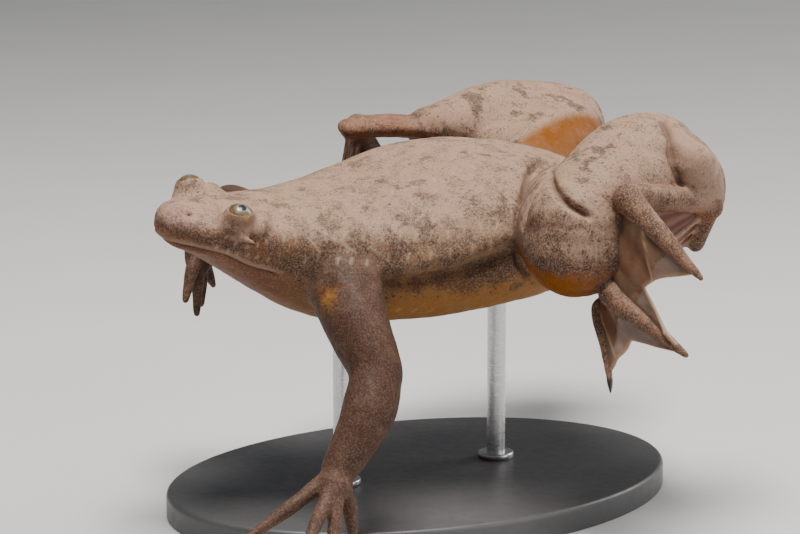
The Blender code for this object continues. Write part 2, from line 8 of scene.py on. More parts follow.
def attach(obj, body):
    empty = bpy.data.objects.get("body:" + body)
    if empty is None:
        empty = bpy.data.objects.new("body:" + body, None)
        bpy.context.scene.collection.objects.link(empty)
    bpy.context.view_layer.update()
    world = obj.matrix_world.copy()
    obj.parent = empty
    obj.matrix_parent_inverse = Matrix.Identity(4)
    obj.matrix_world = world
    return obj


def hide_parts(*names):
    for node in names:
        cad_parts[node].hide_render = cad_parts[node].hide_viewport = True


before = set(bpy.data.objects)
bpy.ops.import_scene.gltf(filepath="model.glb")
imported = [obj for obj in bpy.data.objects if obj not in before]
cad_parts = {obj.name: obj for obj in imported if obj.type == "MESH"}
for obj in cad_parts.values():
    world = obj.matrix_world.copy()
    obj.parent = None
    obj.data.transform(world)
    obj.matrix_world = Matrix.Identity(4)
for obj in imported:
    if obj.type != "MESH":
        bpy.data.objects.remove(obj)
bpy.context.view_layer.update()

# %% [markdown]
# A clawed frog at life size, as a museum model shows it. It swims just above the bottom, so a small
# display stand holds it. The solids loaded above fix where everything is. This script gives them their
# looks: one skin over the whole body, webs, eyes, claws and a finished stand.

MM = 0.001

# %% [markdown]
# Every place on the frog is written in millimetres as (forward, left, up), counted from its vent, as if
# it lay level. One turn then pitches its head up and rolls its left side down, and one shift lifts it
# over the stand. Sizes are shares of the snout-vent length wherever the body scales with it.

# %% Driving sizes and the frog's own frame
SVL = 50.0
PITCH, ROLL = 5.0, 9.0
BODY_LIFT = 25.1
BODY_SHIFT = 0.42 * SVL

turn = Matrix.Rotation(math.radians(-PITCH), 4, "X") @ Matrix.Rotation(math.radians(ROLL), 4, "Y")
frog_axes = np.array(Matrix.Translation((0.0, BODY_SHIFT * MM, BODY_LIFT * MM)) @ turn)


def at(places):
    """Places (forward, left, up) as points of the frog's frame, all in millimetres."""
    places = np.asarray(places, float)
    return np.stack([places[..., 1], -places[..., 0], places[..., 2]], -1)


def to_world(points):
    """Points of the frog's frame in millimetres, as world metres."""
    return points * MM @ frog_axes[:3, :3].T + frog_axes[:3, 3]


def mirrored(places):
    return np.asarray(places, float) * (1.0, -1.0, 1.0)


SIDES = {"left": np.array, "right": mirrored}
print("the vent is at", np.round(to_world(at((0.0, 0.0, 0.0))) / MM, 1), "mm")

# %% [markdown]
# The trunk is a row of cross-sections from vent to snout. Each row gives the half width, the top, the
# level of the widest point and the bottom. A smooth curve runs through each column, so a few rows are
# enough for the whole outline.

# %% Trunk stations and the smooth table that reads them
TRUNK = np.array((
    (-0.015, 0.035, 0.048, 0.026, 0.004),
    (0.00, 0.075, 0.072, 0.026, -0.028),
    (0.05, 0.135, 0.106, 0.026, -0.068),
    (0.12, 0.190, 0.130, 0.022, -0.108),
    (0.22, 0.234, 0.141, 0.014, -0.132),
    (0.32, 0.250, 0.142, 0.006, -0.149),
    (0.42, 0.243, 0.126, -0.002, -0.168),
    (0.52, 0.218, 0.095, -0.010, -0.179),
    (0.62, 0.184, 0.066, -0.015, -0.180),
    (0.70, 0.158, 0.051, -0.017, -0.163),
    (0.76, 0.144, 0.045, -0.016, -0.136),
    (0.82, 0.132, 0.042, -0.013, -0.105),
    (0.875, 0.118, 0.040, -0.009, -0.076),
    (0.915, 0.101, 0.038, -0.006, -0.056),
    (0.947, 0.079, 0.034, -0.004, -0.043),
    (0.968, 0.055, 0.026, -0.003, -0.032),
    (0.980, 0.030, 0.015, -0.002, -0.019),
))
BACK_SQUARE, BELLY_SQUARE = 2.35, 2.1


def hermite(part):
    """The weights of a smooth curve between two points: start, leaving slope, end and arriving slope."""
    square, cube = part ** 2, part ** 3
    return 2 * cube - 3 * square + 1, cube - 2 * square + part, 3 * square - 2 * cube, cube - square


def table_value(table, where, column):
    """A column of a table at places between its rows, on a smooth curve through them."""
    table = np.asarray(table, float)
    x, y = table[:, 0], table[:, column]
    where = np.clip(where, x[0], x[-1])
    row = np.clip(np.searchsorted(x, where, "right") - 1, 0, len(x) - 2)
    slope = np.empty(len(x))
    slope[1:-1] = (y[2:] - y[:-2]) / (x[2:] - x[:-2])
    slope[0], slope[-1] = (y[1] - y[0]) / (x[1] - x[0]), (y[-1] - y[-2]) / (x[-1] - x[-2])
    wide = x[row + 1] - x[row]
    start, leave, end, arrive = hermite((where - x[row]) / wide)
    return start * y[row] + leave * wide * slope[row] + end * y[row + 1] + arrive * wide * slope[row + 1]


def trunk_sizes(forward):
    """Half width, top, level of the widest point and bottom of the trunk, in millimetres."""
    return [SVL * table_value(TRUNK, forward, column) for column in (1, 2, 3, 4)]


def section_shape(upper, top, level, bottom):
    """How square the trunk's section is above or below its widest point, and how high it is there."""
    return np.where(upper, BACK_SQUARE, BELLY_SQUARE), np.where(upper, top - level, level - bottom)


def trunk_place(forward, angle):
    """Places on the trunk's surface. The angle is 0 on the left side and a quarter turn on the back."""
    width, top, level, bottom = trunk_sizes(forward)
    square, height = section_shape(np.sin(angle) > 0, top, level, bottom)
    left = width * np.sign(np.cos(angle)) * np.abs(np.cos(angle)) ** (2 / square)
    up = level + height * np.sign(np.sin(angle)) * np.abs(np.sin(angle)) ** (2 / square)
    return np.stack([SVL * forward + 0 * angle, left, up], -1)


print("trunk of", len(TRUNK), "stations,", SVL, "mm from snout to vent")

# %% [markdown]
# All the flesh starts as closed tubes and balls that overlap. A tube is a list of rings of points. The
# helpers turn rings into faces and keep each form's centre line, which later tells the smoothing and the
# colours what part of the body a point belongs to.

# %% Forms: rings into closed tubes, with their centre lines kept
forms = []
ROUND_RINGS = 6


def curve_points(points, where):
    """Points on a smooth curve through the given ones, from 0 at the first to 1 at the last."""
    points = np.asarray(points, float)
    count = len(points) - 1
    where = np.asarray(where, float) * count
    row = np.clip(where.astype(int), 0, count - 1)
    before, start = points[np.maximum(row - 1, 0)], points[row]
    end, after = points[row + 1], points[np.minimum(row + 2, count)]
    first, leave, last, arrive = hermite((where - row)[:, None])
    return start * first + end * last + (end - before) * 0.5 * leave + (after - start) * 0.5 * arrive


def round_angles(sides):
    """Angles all the way round, evenly spaced."""
    return np.linspace(0, 2 * math.pi, sides, endpoint=False)


def ring_faces(count, sides):
    """Faces of a closed tube of rings with a tip point before the first ring and after the last."""
    faces = []
    last = 1 + (count - 1) * sides
    for side in range(sides):
        after = (side + 1) % sides
        faces.append((0, 1 + after, 1 + side))
        for base in range(1, last, sides):
            faces.append((base + side, base + after, base + sides + after, base + sides + side))
        faces.append((last + side, last + after, last + sides))
    return faces


def add_form(name, points, faces, centres, radii, blend):
    """Keeps a closed form, with the balls along its centre line and how softly it joins its neighbours."""
    forms.append({
        "name": name, "points": np.asarray(points), "faces": faces,
        "centres": np.asarray(centres), "radii": np.asarray(radii), "blend": blend,
    })


def tube(name, places, radii, blend=0.5, sides=32, steps=48, flat=1.0, thin=(0.0, 0.0, 1.0)):
    """A limb along a smooth curve, with radii from a table and rounded ends."""
    points = at(places)
    body = np.linspace(0, 1, steps)
    rounding = 0.5 * math.pi * (np.arange(ROUND_RINGS) + 0.35) / ROUND_RINGS
    where = np.concatenate([np.zeros(ROUND_RINGS), body, np.ones(ROUND_RINGS)])
    radius = table_value(radii, where, 1)
    share = np.concatenate([np.sin(rounding), np.ones(steps), np.sin(rounding[::-1])])
    ends = np.cos(rounding)
    beyond = np.concatenate([-radius[0] * ends, np.zeros(steps), radius[-1] * ends[::-1]])
    tiny = 0.001
    before, after = np.maximum(where - tiny, 0), np.minimum(where + tiny, 1)
    along = curve_points(points, after) - curve_points(points, before)
    along /= np.linalg.norm(along, axis=1)[:, None]
    side = np.cross(along, at(thin))
    side /= np.linalg.norm(side, axis=1)[:, None]
    over = np.cross(side, along)
    centre = curve_points(points, where) + along * beyond[:, None]
    angle = round_angles(sides)
    width = (radius * share)[:, None, None]
    rings = (
        centre[:, None] + side[:, None] * width * np.cos(angle)[None, :, None]
        + over[:, None] * width * flat * np.sin(angle)[None, :, None]
    )
    start = points[0] - along[ROUND_RINGS] * radius[0]
    end = points[-1] + along[-ROUND_RINGS - 1] * radius[-1]
    radii = table_value(radii, body, 1) * (0.5 + 0.5 * flat)
    faces = ring_faces(len(where), sides)
    skin = np.concatenate([[start], rings.reshape(-1, 3), [end]])
    add_form(name, skin, faces, curve_points(points, body), radii, blend)


def ball(name, place, radii, blend=0.4, sides=32, rings=20):
    """A ball stretched along forward, left and up."""
    angle = round_angles(sides)
    polar = np.linspace(0, math.pi, rings + 2)[1:-1]
    place, radii = np.asarray(place, float), np.asarray(radii, float)
    unit = np.stack([
        np.outer(np.sin(polar), np.cos(angle)), np.outer(np.sin(polar), np.sin(angle)),
        np.repeat(np.cos(polar)[:, None], sides, 1),
    ], -1).reshape(-1, 3)
    unit = np.concatenate([[(0, 0, 1)], unit, [(0, 0, -1)]])
    add_form(name, at(place + unit * radii), ring_faces(rings, sides), [at(place)], [radii.mean()], blend)


print("helpers for tubes and balls ready")

# %% [markdown]
# The trunk is one loft of many rings. Its ends close in a tip. The shares below are spaced so that rings
# crowd together where the snout turns in.

# %% Trunk form
def trunk_form(rings=150, sides=96):
    """The whole trunk from vent to snout as one closed form."""
    low, high = TRUNK[0, 0], TRUNK[-1, 0]
    share = 0.5 - 0.5 * np.cos(np.linspace(0, math.pi, rings))
    forward = low + (high - low) * (0.5 * share + 0.5 * np.linspace(0, 1, rings))
    angle = round_angles(sides)
    places = trunk_place(forward[:, None] + 0 * angle[None], angle[None] + 0 * forward[:, None])
    first = (SVL * low - 0.7, 0.0, SVL * TRUNK[0, 3])
    last = (SVL * high + 0.2, 0.0, SVL * TRUNK[-1, 3])
    points = np.concatenate([[at(first)], at(places).reshape(-1, 3), [at(last)]])
    width, top, level, bottom = trunk_sizes(forward)
    spine = np.stack([SVL * forward, 0 * forward, level], -1)
    add_form("trunk", points, ring_faces(rings, sides), at(spine), width, 0.6)


trunk_form()
print("trunk form of", len(forms[0]["points"]), "points")

# %% [markdown]
# The eyes of a clawed frog sit on top of the head and look up and outwards. Each has a low mound, a lid
# that rings the ball, and a short feeler below it. The nostrils open on two small humps near the tip of
# the snout.

# %% Forms of the head
EYE_AT = SVL * np.array((0.880, 0.087, 0.029))
EYE_OUTWARD = np.array((0.12, 0.42, 0.90)) / np.linalg.norm((0.12, 0.42, 0.90))
EYE_PROUD = 0.35
EYE_RADIUS, EYE_SKIN = 1.44, 0.16
EYE_BROW, BROW_BACK = (2.7, 1.95, 1.66), (-0.8, 0.0, -0.22)
NOSTRIL_AT = (0.952, 0.034)
FEELER = ((44.8, 5.3, 0.5), (44.3, 6.2, 0.5), (43.5, 6.9, 0.3))
FEELER_RADII = ((0.0, 0.30), (0.5, 0.24), (1.0, 0.15))


def top_of_head(forward, left):
    """The height of the head's upper surface, in millimetres, from shares."""
    width, top, level = (table_value(TRUNK, forward, column) for column in (1, 2, 3))
    return SVL * (level + (top - level) * (1 - (left / width) ** BACK_SQUARE) ** (1 / BACK_SQUARE))


eye_centres, eye_outwards, nostrils = {}, {}, {}
for side, turned in SIDES.items():
    mound, outward = turned(EYE_AT), turned(EYE_OUTWARD)
    eye_centres[side], eye_outwards[side] = mound + EYE_PROUD * outward, outward
    nostrils[side] = turned((SVL * NOSTRIL_AT[0], SVL * NOSTRIL_AT[1], top_of_head(*NOSTRIL_AT)))
    ball("mound_" + side, eye_centres[side], [EYE_RADIUS + EYE_SKIN] * 3, 0.8)
    ball("brow_" + side, mound + BROW_BACK, EYE_BROW, 0.8)
    ball("nostril_" + side, nostrils[side] - (0.1, 0, 0.12), (0.62, 0.5, 0.42), 0.3, 20, 12)
    tube("feeler_" + side, turned(FEELER), FEELER_RADII, 0.15, 12, 16)
print("eyes", round(2 * abs(eye_centres["left"][1]), 1), "mm apart")

# %% [markdown]
# Each limb is a chain of tubes along the bones. The radii swell where the muscle lies: the clawed frog
# has very thick thighs and calves and thin arms. The last number of a row says how softly it joins.

# %% Forms of the limbs
LIMBS = {
    "thigh_left": (((7.8, 5.6, 3.2), (13.1, 13.2, 4.0), (18.8, 20.9, 4.4)), 0.10),
    "calf_left": (((18.7, 20.5, 5.6), (11.0, 16.6, 8.7), (4.8, 12.8, 10.0), (0.9, 9.4, 10.5)), 0.05),
    "ankle_left": (((0.9, 9.4, 10.5), (0.8, 12.8, 10.2), (1.9, 17.0, 9.2), (4.3, 20.6, 7.6)), 0.10),
    "thigh_right": (((5.3, -5.9, 1.2), (-1.6, -12.0, 2.6), (-7.8, -17.7, 4.0)), 1.6),
    "calf_right": (((-7.8, -17.8, 4.4), (-2.6, -18.8, 3.7), (4.2, -17.6, 4.0), (10.1, -16.5, 4.6)), 1.6),
    "ankle_right": (((10.1, -16.5, 4.6), (15.0, -16.3, 4.9), (19.6, -16.1, 4.7)), 0.4),
    "upper_arm_left": (((33.5, 7.0, -3.5), (34.2, 11.6, -6.4), (33.9, 15.2, -9.4)), 1.6),
    "forearm_left": (((33.9, 15.2, -9.4), (36.0, 17.4, -13.0), (39.0, 18.9, -16.8)), 1.0),
    "upper_arm_right": (((34.0, -7.0, -3.3), (33.0, -12.5, -3.6), (31.7, -17.1, -3.8)), 1.6),
    "forearm_right": (((31.7, -17.1, -3.8), (34.0, -15.8, -5.3), (36.3, -14.1, -7.2)), 1.0),
    "heel_left": (
        ((7.4, 17.1, 14.0), (7.7, 19.3, 13.0), (7.2, 20.2, 11.9), (6.4, 19.8, 10.8), (5.0, 19.7, 9.2)), 1.1,
    ),
    "ham_right": (((-7.4, -17.6, 4.3), (-2.4, -15.2, 3.5), (2.6, -12.6, 2.9)), 1.6),
}
LIMB_RADII = {
    "thigh": ((0.0, 3.8), (0.25, 4.8), (0.55, 5.4), (0.8, 5.3), (1.0, 4.9)),
    "calf": ((0.0, 4.8), (0.25, 5.4), (0.45, 5.4), (0.7, 4.2), (0.9, 2.7), (1.0, 2.3)),
    "ankle": ((0.0, 2.0), (0.5, 2.0), (1.0, 1.65)),
    "upper_arm": ((0.0, 3.6), (0.5, 2.9), (1.0, 2.35)),
    "forearm": ((0.0, 2.3), (0.35, 2.5), (0.75, 1.95), (1.0, 1.6)),
    "heel": ((0.0, 1.0), (0.25, 1.3), (0.5, 2.3), (0.75, 2.85), (1.0, 2.5)),
    "ham": ((0.0, 4.8), (0.5, 4.9), (1.0, 3.6)),
}
ANKLE_FLAT = 0.55
ANKLE_THIN = {"left": (0.55, 0.80, 0.20), "right": (0.0, 0.0, 1.0)}

for name, (line, join) in LIMBS.items():
    kind, side = name.rsplit("_", 1)
    extra = {"flat": ANKLE_FLAT, "thin": ANKLE_THIN[side]} if kind == "ankle" else {}
    tube(name, line, LIMB_RADII[kind], join, **extra)
print(len(LIMBS), "limb forms")

# %% [markdown]
# A hind foot has five long toes. Each leaves the sole, bends over its knuckle and runs to its tip. The
# front hand has four slim fingers without webs.

# %% Forms of the feet and hands
TOES = {
    "left": (
        ((8.8, 19.9, 2.8), (9.6, 19.6, -1.4), 0.62),
        ((12.4, 19.4, 0.0), (14.2, 22.8, -3.6), 0.70),
        ((16.5, 23.0, -0.9), (18.1, 27.9, -5.8), 0.86),
        ((17.8, 25.1, 1.2), (15.7, 34.6, -1.5), 1.12),
        ((17.3, 24.3, 9.9), (15.2, 34.0, 5.3), 1.22),
    ),
    "right": (
        ((20.5, -15.4, -4.0), (19.0, -15.0, -9.5), 0.62),
        ((20.0, -16.6, -6.0), (17.5, -16.2, -13.0), 0.70),
        ((18.6, -18.2, -7.5), (14.5, -17.8, -16.0), 0.80),
        ((15.0, -20.6, -7.0), (8.5, -21.2, -16.5), 1.12),
        ((9.5, -21.8, -3.4), (1.4, -23.8, -9.2), 1.22),
    ),
}
FINGERS = {
    "left": (
        ((44.0, 20.0, -19.4), (48.6, 20.3, -22.2)),
        ((42.4, 22.2, -19.2), (45.6, 24.7, -22.4)),
        ((40.9, 22.2, -19.8), (42.2, 24.8, -23.4)),
        ((38.2, 20.4, -19.8), (37.8, 21.6, -23.6)),
    ),
    "right": (
        ((37.6, -12.8, -8.4), (38.6, -11.6, -11.4)),
        ((36.4, -13.6, -9.6), (36.4, -12.8, -13.2)),
        ((35.4, -14.8, -9.6), (34.8, -14.8, -13.0)),
        ((34.6, -15.8, -9.0), (32.8, -16.4, -11.6)),
    ),
}
TOE_TIP = 0.30
INNER_RAY, OUTER_RAY = 0.34, 0.95
TOE_ROOTS = {
    "left": ((4.4, 20.3, 3.9), (4.2, 20.75, 8.1)),
    "right": ((20.4, -15.5, 4.6), (18.4, -16.9, 4.5)),
}
SOLE = ((0.0, 0.85), (0.5, 1.05), (1.0, 1.45))
FINGER = ((0.0, 0.95), (0.35, 0.75), (0.55, 0.66), (0.68, 0.70), (0.85, 0.5), (1.0, 0.32))
CLAWED_TOES = 3
toe_lines = {}


def toe_line(root, knuckle, tip):
    """A toe's centre line: out from the foot's root, over the knuckle and down to the tip."""
    root, knuckle, tip = (np.asarray(place, float) for place in (root, knuckle, tip))
    shares = ((root, knuckle, 0.0), (root, knuckle, 0.55), (root, knuckle, 0.93),
              (knuckle, tip, 0.12), (knuckle, tip, 0.55), (knuckle, tip, 1.0))
    return np.array([start + (end - start) * share for start, end, share in shares])


for side in SIDES:
    inner, outer = np.array(TOE_ROOTS[side])
    tube("sole_" + side, (inner, outer), SOLE, 0.5)
    for index, (knuckle, tip, radius) in enumerate(TOES[side]):
        line = toe_line(inner + (outer - inner) * index / 4, knuckle, tip)
        toe_lines[side, index] = line
        early = radius * (OUTER_RAY if index == 4 else INNER_RAY)
        table = ((0.0, early), (0.32, early), (0.42, radius * 0.85), (0.5, radius * 1.1),
                 (0.65, radius * 0.95), (0.85, radius * 0.56), (1.0, TOE_TIP - 0.05))
        tube(f"toe_{side}_{index + 1}", line, table, 0.35, 20, 60)
    wrist = np.array(LIMBS["forearm_" + side][0][-1])
    fingers = np.array(FINGERS[side])
    ball("palm_" + side, wrist + (fingers[:, 0] - wrist).sum(0) * 0.1, (1.6, 1.5, 1.5), 0.6)
    for index, (joint, tip) in enumerate(fingers):
        line = (wrist, wrist + (joint - wrist) * 0.6, joint, tip)
        tube(f"finger_{side}_{index + 1}", line, FINGER, 0.35, 18, 40)
print(len(forms), "forms in all")

# %% [markdown]
# Now the forms become one skin. A voxel remesh wraps everything that overlaps in one even net of small
# squares, so an arm grows out of the chest with no seam. It is run at a scale where a millimetre is a
# whole unit, which keeps its arithmetic well away from rounding.

# %% One skin from all the forms
VOXEL = 0.17


def new_object(name, points, faces):
    """A mesh object in the scene, from points and faces."""
    mesh = bpy.data.meshes.new(name)
    mesh.from_pydata(np.asarray(points, float).tolist(), [], faces)
    made = bpy.data.objects.new(name, mesh)
    bpy.context.scene.collection.objects.link(made)
    return made


def joined_skin():
    """Points and square faces of one net over all the forms, in millimetres of the frog's frame."""
    faces, start = [], 0
    for form in forms:
        faces += [tuple(start + corner for corner in face) for face in form["faces"]]
        start += len(form["points"])
    holder = new_object("forms", np.concatenate([form["points"] for form in forms]), faces)
    remesh = holder.modifiers.new("wrap", "REMESH")
    remesh.mode = "VOXEL"
    remesh.voxel_size = VOXEL
    bpy.context.view_layer.update()
    wrapped = bpy.data.meshes.new_from_object(holder.evaluated_get(bpy.context.evaluated_depsgraph_get()))
    bpy.data.objects.remove(holder, do_unlink=True)
    points = np.empty(len(wrapped.vertices) * 3)
    wrapped.vertices.foreach_get("co", points)
    corners = np.empty(len(wrapped.loops), int)
    wrapped.loops.foreach_get("vertex_index", corners)
    bpy.data.meshes.remove(wrapped)
    return points.reshape(-1, 3), corners.reshape(-1, 4)


skin_points, skin_faces = joined_skin()
print("skin of", len(skin_points), "points and", len(skin_faces), "faces")

# %% [markdown]
# To smooth a joint and not a toe, each point has to know where it is. Its distance to every form's centre
# line, less the radius there, says which form it lies on and how near the next one is.

# %% Which form each point lies on
def trunk_distance(points):
    """About how far each point lies outside the trunk's surface."""
    left, forward, up = points[:, 0], -points[:, 1] / SVL, points[:, 2]
    width, top, level, bottom = trunk_sizes(forward)
    square, height = section_shape(up > level, top, level, bottom)
    ratio = (np.abs(left / width) ** square + np.abs((up - level) / height) ** square) ** (1 / square)
    beyond = np.maximum(np.maximum(TRUNK[0, 0] - forward, forward - TRUNK[-1, 0]) * SVL, 0)
    reach = np.hypot(left, up - level)
    return np.where(ratio > 1e-6, reach * (1 - 1 / np.maximum(ratio, 1e-6)), -width) + beyond


def form_distances(points):
    """For each point, its distance outside each form's surface, as an array of points by forms."""
    found = np.empty((len(points), len(forms)), np.float32)
    squares = (points ** 2).sum(1)[:, None]
    for index, form in enumerate(forms):
        if form["name"] == "trunk":
            found[:, index] = trunk_distance(points)
            continue
        every = 3 if len(form["radii"]) > 12 else 1
        centres, radii = form["centres"][::every], form["radii"][::every]
        gap = np.sqrt(np.maximum(squares - 2 * points @ centres.T + (centres ** 2).sum(1)[None], 0))
        found[:, index] = (gap - radii[None]).min(1)
    return found


def bell(distance, width):
    """A soft hump, 1 at no distance and nearly 0 at twice the width."""
    return np.exp(-(distance / width) ** 2)


names = np.array([form["name"] for form in forms])
blends = np.array([form["blend"] for form in forms])
distances = form_distances(skin_points)
nearest, second = np.argsort(distances, axis=1)[:, :2].T
rows = np.arange(len(skin_points))
apart = distances[rows, second] - distances[rows, nearest]
soft = np.minimum(blends[nearest], blends[second])
joint_weight = bell(np.maximum(apart, 0), 1.6 * soft)
print("points near a joint:", int((joint_weight > 0.5).sum()))

# %% [markdown]
# Smoothing moves each point towards the middle of its neighbours. A pass that is followed by a slightly
# stronger pass the other way takes out the steps of the voxels and keeps the volume. Passes that are not
# reversed fill the hollows at the joints, in proportion to the weight found above.

# %% Smoothing
edges = np.concatenate([skin_faces[:, pair] for pair in ([0, 1], [1, 2], [2, 3], [3, 0])])
edges = np.unique(np.sort(edges, axis=1), axis=0)
neighbours = np.bincount(edges.ravel(), minlength=len(skin_points)).astype(float)


def relaxed(values):
    """Each point's value averaged over its neighbours."""
    total = np.empty_like(values)
    for column in range(values.shape[1]):
        total[:, column] = (
            np.bincount(edges[:, 0], values[edges[:, 1], column], len(values))
            + np.bincount(edges[:, 1], values[edges[:, 0], column], len(values))
        )
    return total / neighbours[:, None]


def smooth(points, weight, passes, back=0.0):
    """Points moved towards the middle of their neighbours, and partly back again if asked."""
    for _ in range(passes):
        points = points + weight * (relaxed(points) - points)
        if back:
            points = points - back * weight * (relaxed(points) - points)
    return points


skin_points = smooth(skin_points, 0.6, 6, back=1.02)
per_mm = 0.17 / VOXEL
joint_passes = int(46 * per_mm ** 2)
strength = np.clip(joint_weight * np.clip(soft / 0.9, 0.04, 1.0), 0, 1)[:, None] * 0.6
skin_points = smooth(skin_points, strength, joint_passes)
print("smoothed with", joint_passes, "passes at the joints")

# %% [markdown]
# Sculpting starts from the direction each point faces. The corners of every square give its direction,
# and each point takes the sum over its squares.

# %% Directions of the skin, and soft steps
def normals_of(points, faces):
    """Which way each point faces."""
    first, second, third, fourth = (points[faces[:, corner]] for corner in range(4))
    across = np.cross(third - first, fourth - second)
    total = np.zeros_like(points)
    for corner in range(4):
        for axis in range(3):
            total[:, axis] += np.bincount(faces[:, corner], across[:, axis], len(points))
    return total / np.maximum(np.linalg.norm(total, axis=1), 1e-9)[:, None]


def step(low, high, values):
    """0 below low, 1 above high and smooth between. With low over high it falls instead."""
    share = np.clip((values - low) / (high - low), 0, 1)
    return share * share * (3 - 2 * share)


def smoothed(values, passes):
    """A value of each point, averaged with its neighbours a few times."""
    values = values[:, None]
    for _ in range(int(passes * per_mm) + 1):
        values = 0.5 * values + 0.5 * relaxed(values)
    return values[:, 0]


facing = normals_of(skin_points, skin_faces)
if (facing[:, 2] * skin_points[:, 2]).sum() < 0:
    skin_faces = skin_faces[:, ::-1].copy()
    facing = -facing
forward, left, up = -skin_points[:, 1], skin_points[:, 0], skin_points[:, 2]
print("skin spans", np.round(skin_points.min(0), 1), "to", np.round(skin_points.max(0), 1), "mm")

# %% [markdown]
# Folds, lips and lids are drawn as curves on the body. A point near a curve moves along its own direction
# by a profile of its distance to the curve, so one helper makes a ridge, a groove or the two side by side.

# %% Drawing ridges and grooves
lift, mouth_groove_shade, lip_pale, flank_fold_shadow = np.zeros((4, len(skin_points)))
nostril_pit_shade, pale_ring, drawn_crease, stitch = np.zeros((4, len(skin_points)))
SAMPLES = 160
LIP_UP = 0.42


def near_line(line, reach):
    """The points within reach of a curve: their numbers, distances, shares along it and heights over it."""
    samples = at(curve_points(line, np.linspace(0, 1, SAMPLES)))
    low, high = samples.min(0) - reach, samples.max(0) + reach
    inside = np.flatnonzero(((skin_points > low) & (skin_points < high)).all(1))
    gaps = ((skin_points[inside, None] - samples[None]) ** 2).sum(2)
    closest = gaps.argmin(1)
    distance = np.sqrt(gaps[np.arange(len(inside)), closest])
    over = skin_points[inside, 2] - samples[closest, 2]
    keep = distance < reach
    return inside[keep], distance[keep], closest[keep] / (SAMPLES - 1), over[keep]


def fold(line, width, depth, rise):
    """A groove along a curve, with a soft ridge just over it."""
    rows, distance, along, over = near_line(line, 5 * width)
    ends = step(0, 0.18, along) * step(1, 1 - 0.18, along)
    lift[rows] -= depth * ends * bell(distance, width)
    ridge = bell(distance - 1.9 * width, 1.2 * width) * step(-0.2 * width, 0.8 * width, over)
    lift[rows] += rise * ends * ridge
    return rows, distance, along, over


def strongest(values, rows, new):
    """Raises some of the values to new ones where these are higher."""
    values[rows] = np.maximum(values[rows], new)


MOUTH_LEFT = (
    (39.6, 6.2, -3.20), (40.9, 6.0, -2.80), (42.2, 5.7, -2.55), (43.3, 5.4, -2.25), (44.6, 5.1, -1.70),
    (45.6, 4.8, -1.40), (47.3, 3.5, -1.22), (48.1, 2.3, -1.26), (48.5, 1.1, -1.36), (48.6, 0.0, -1.40),
)
FLANK_FOLD = (
    (33.4, 9.6, -3.2), (29.7, 9.6, -3.1), (26.6, 10.8, -2.1),
    (23.2, 11.8, -0.9), (20.0, 12.3, 0.5), (18.0, 11.9, 1.6),
)
SMALL_FOLDS = (
    (((37.2, 9.0, -1.2), (36.6, 9.6, -3.0), (36.8, 8.6, -5.0)), 0.40, 0.14, 0.05),
    (((31.6, 10.2, -0.4), (31.0, 10.8, -2.4), (31.4, 9.8, -5.2)), 0.45, 0.16, 0.05),
    (((41.6, 6.9, -0.6), (40.4, 7.4, -2.4), (39.4, 6.6, -4.6)), 0.45, 0.12, 0.04),
)
for turned in SIDES.values():
    rows, distance, along, over = near_line(turned(MOUTH_LEFT), 1.6)
    ends = step(0, 0.12, along)
    lift[rows] -= 0.26 * ends * bell(distance, 0.16)
    lift[rows] += 0.12 * ends * bell(over - LIP_UP, 0.30)
    lift[rows] += 0.05 * ends * bell(over + LIP_UP, 0.26)
    # Painted shade: the groove of the mouth is darkened.
    strongest(mouth_groove_shade, rows, ends * bell(distance, 0.13))
    strongest(lip_pale, rows, ends * bell(over - LIP_UP, 0.20) * step(1.1, 0.7, distance))
for turned in SIDES.values():
    rows, distance, along, over = fold(turned(FLANK_FOLD), 0.85, 0.62, 0.46)
    # Painted shadow: the band just under the flank fold is darkened.
    strongest(flank_fold_shadow, rows, step(0, 0.2, along) * bell(distance, 1.1) * step(0.5, -0.3, over))
    for line, width, depth, rise in SMALL_FOLDS:
        fold(turned(line), width, depth, rise)
print("mouth and folds move", int((np.abs(lift) > 0.01).sum()), "points")

# %% [markdown]
# The nostrils are small pits on top of their humps, darkened inside as painted shade. Over the hips a clawed
# frog shows a low bump where the pelvis slides under the skin. Both are soft balls of displacement. Where a
# limb presses on the body or on itself, a sharp crease is drawn, and painted shade darkens it.

# %% Nostrils, hip bumps, muscle lines and creases
def dent(place, radius, depth):
    """Pushes the skin in round a place, or out when depth is negative, and gives each point's share."""
    inside = bell(np.linalg.norm(skin_points - at(place), axis=1), radius)
    lift[:] = lift - depth * inside
    return inside


for side, turned in SIDES.items():
    pit = nostrils[side] + turned((0.12, 0.16, 0.22))
    pale_ring = np.maximum(pale_ring, dent(pit, 0.52, -0.10))
    # Painted shade: the nostril pit is darkened.
    nostril_pit_shade = np.maximum(nostril_pit_shade, dent(pit, 0.34, 0.62))
    dent(turned((11.3, 2.6, 6.5)), 1.6, -0.32)
    dent(turned((43.9, 5.6, 0.2)), 0.9, -0.10)
MUSCLE_LINES = (
    ((25.0, 20.4, 4.0), (24.6, 20.0, 7.0), (22.2, 18.5, 9.2)),
    ((14.0, 19.8, 13.2), (10.5, 20.4, 12.6), (7.6, 19.6, 11.6)),
    ((-1.0, -14.0, 8.4), (4.0, -13.6, 8.0), (8.0, -13.8, 6.8)),
)
for line in MUSCLE_LINES:
    fold(line, 0.7, 0.14, 0.04)
CREASE_REACH = 0.55
creased = np.isin(names, ("trunk", "thigh_left", "calf_left", "heel_left", "thigh_right"))
between_limbs = creased[nearest] & creased[second] & (names[nearest] != names[second])
touching = bell(np.maximum(apart, 0), 0.6 * CREASE_REACH) * between_limbs
lift -= 0.25 * (touching * step(1.4, 0.4, distances.min(1)))
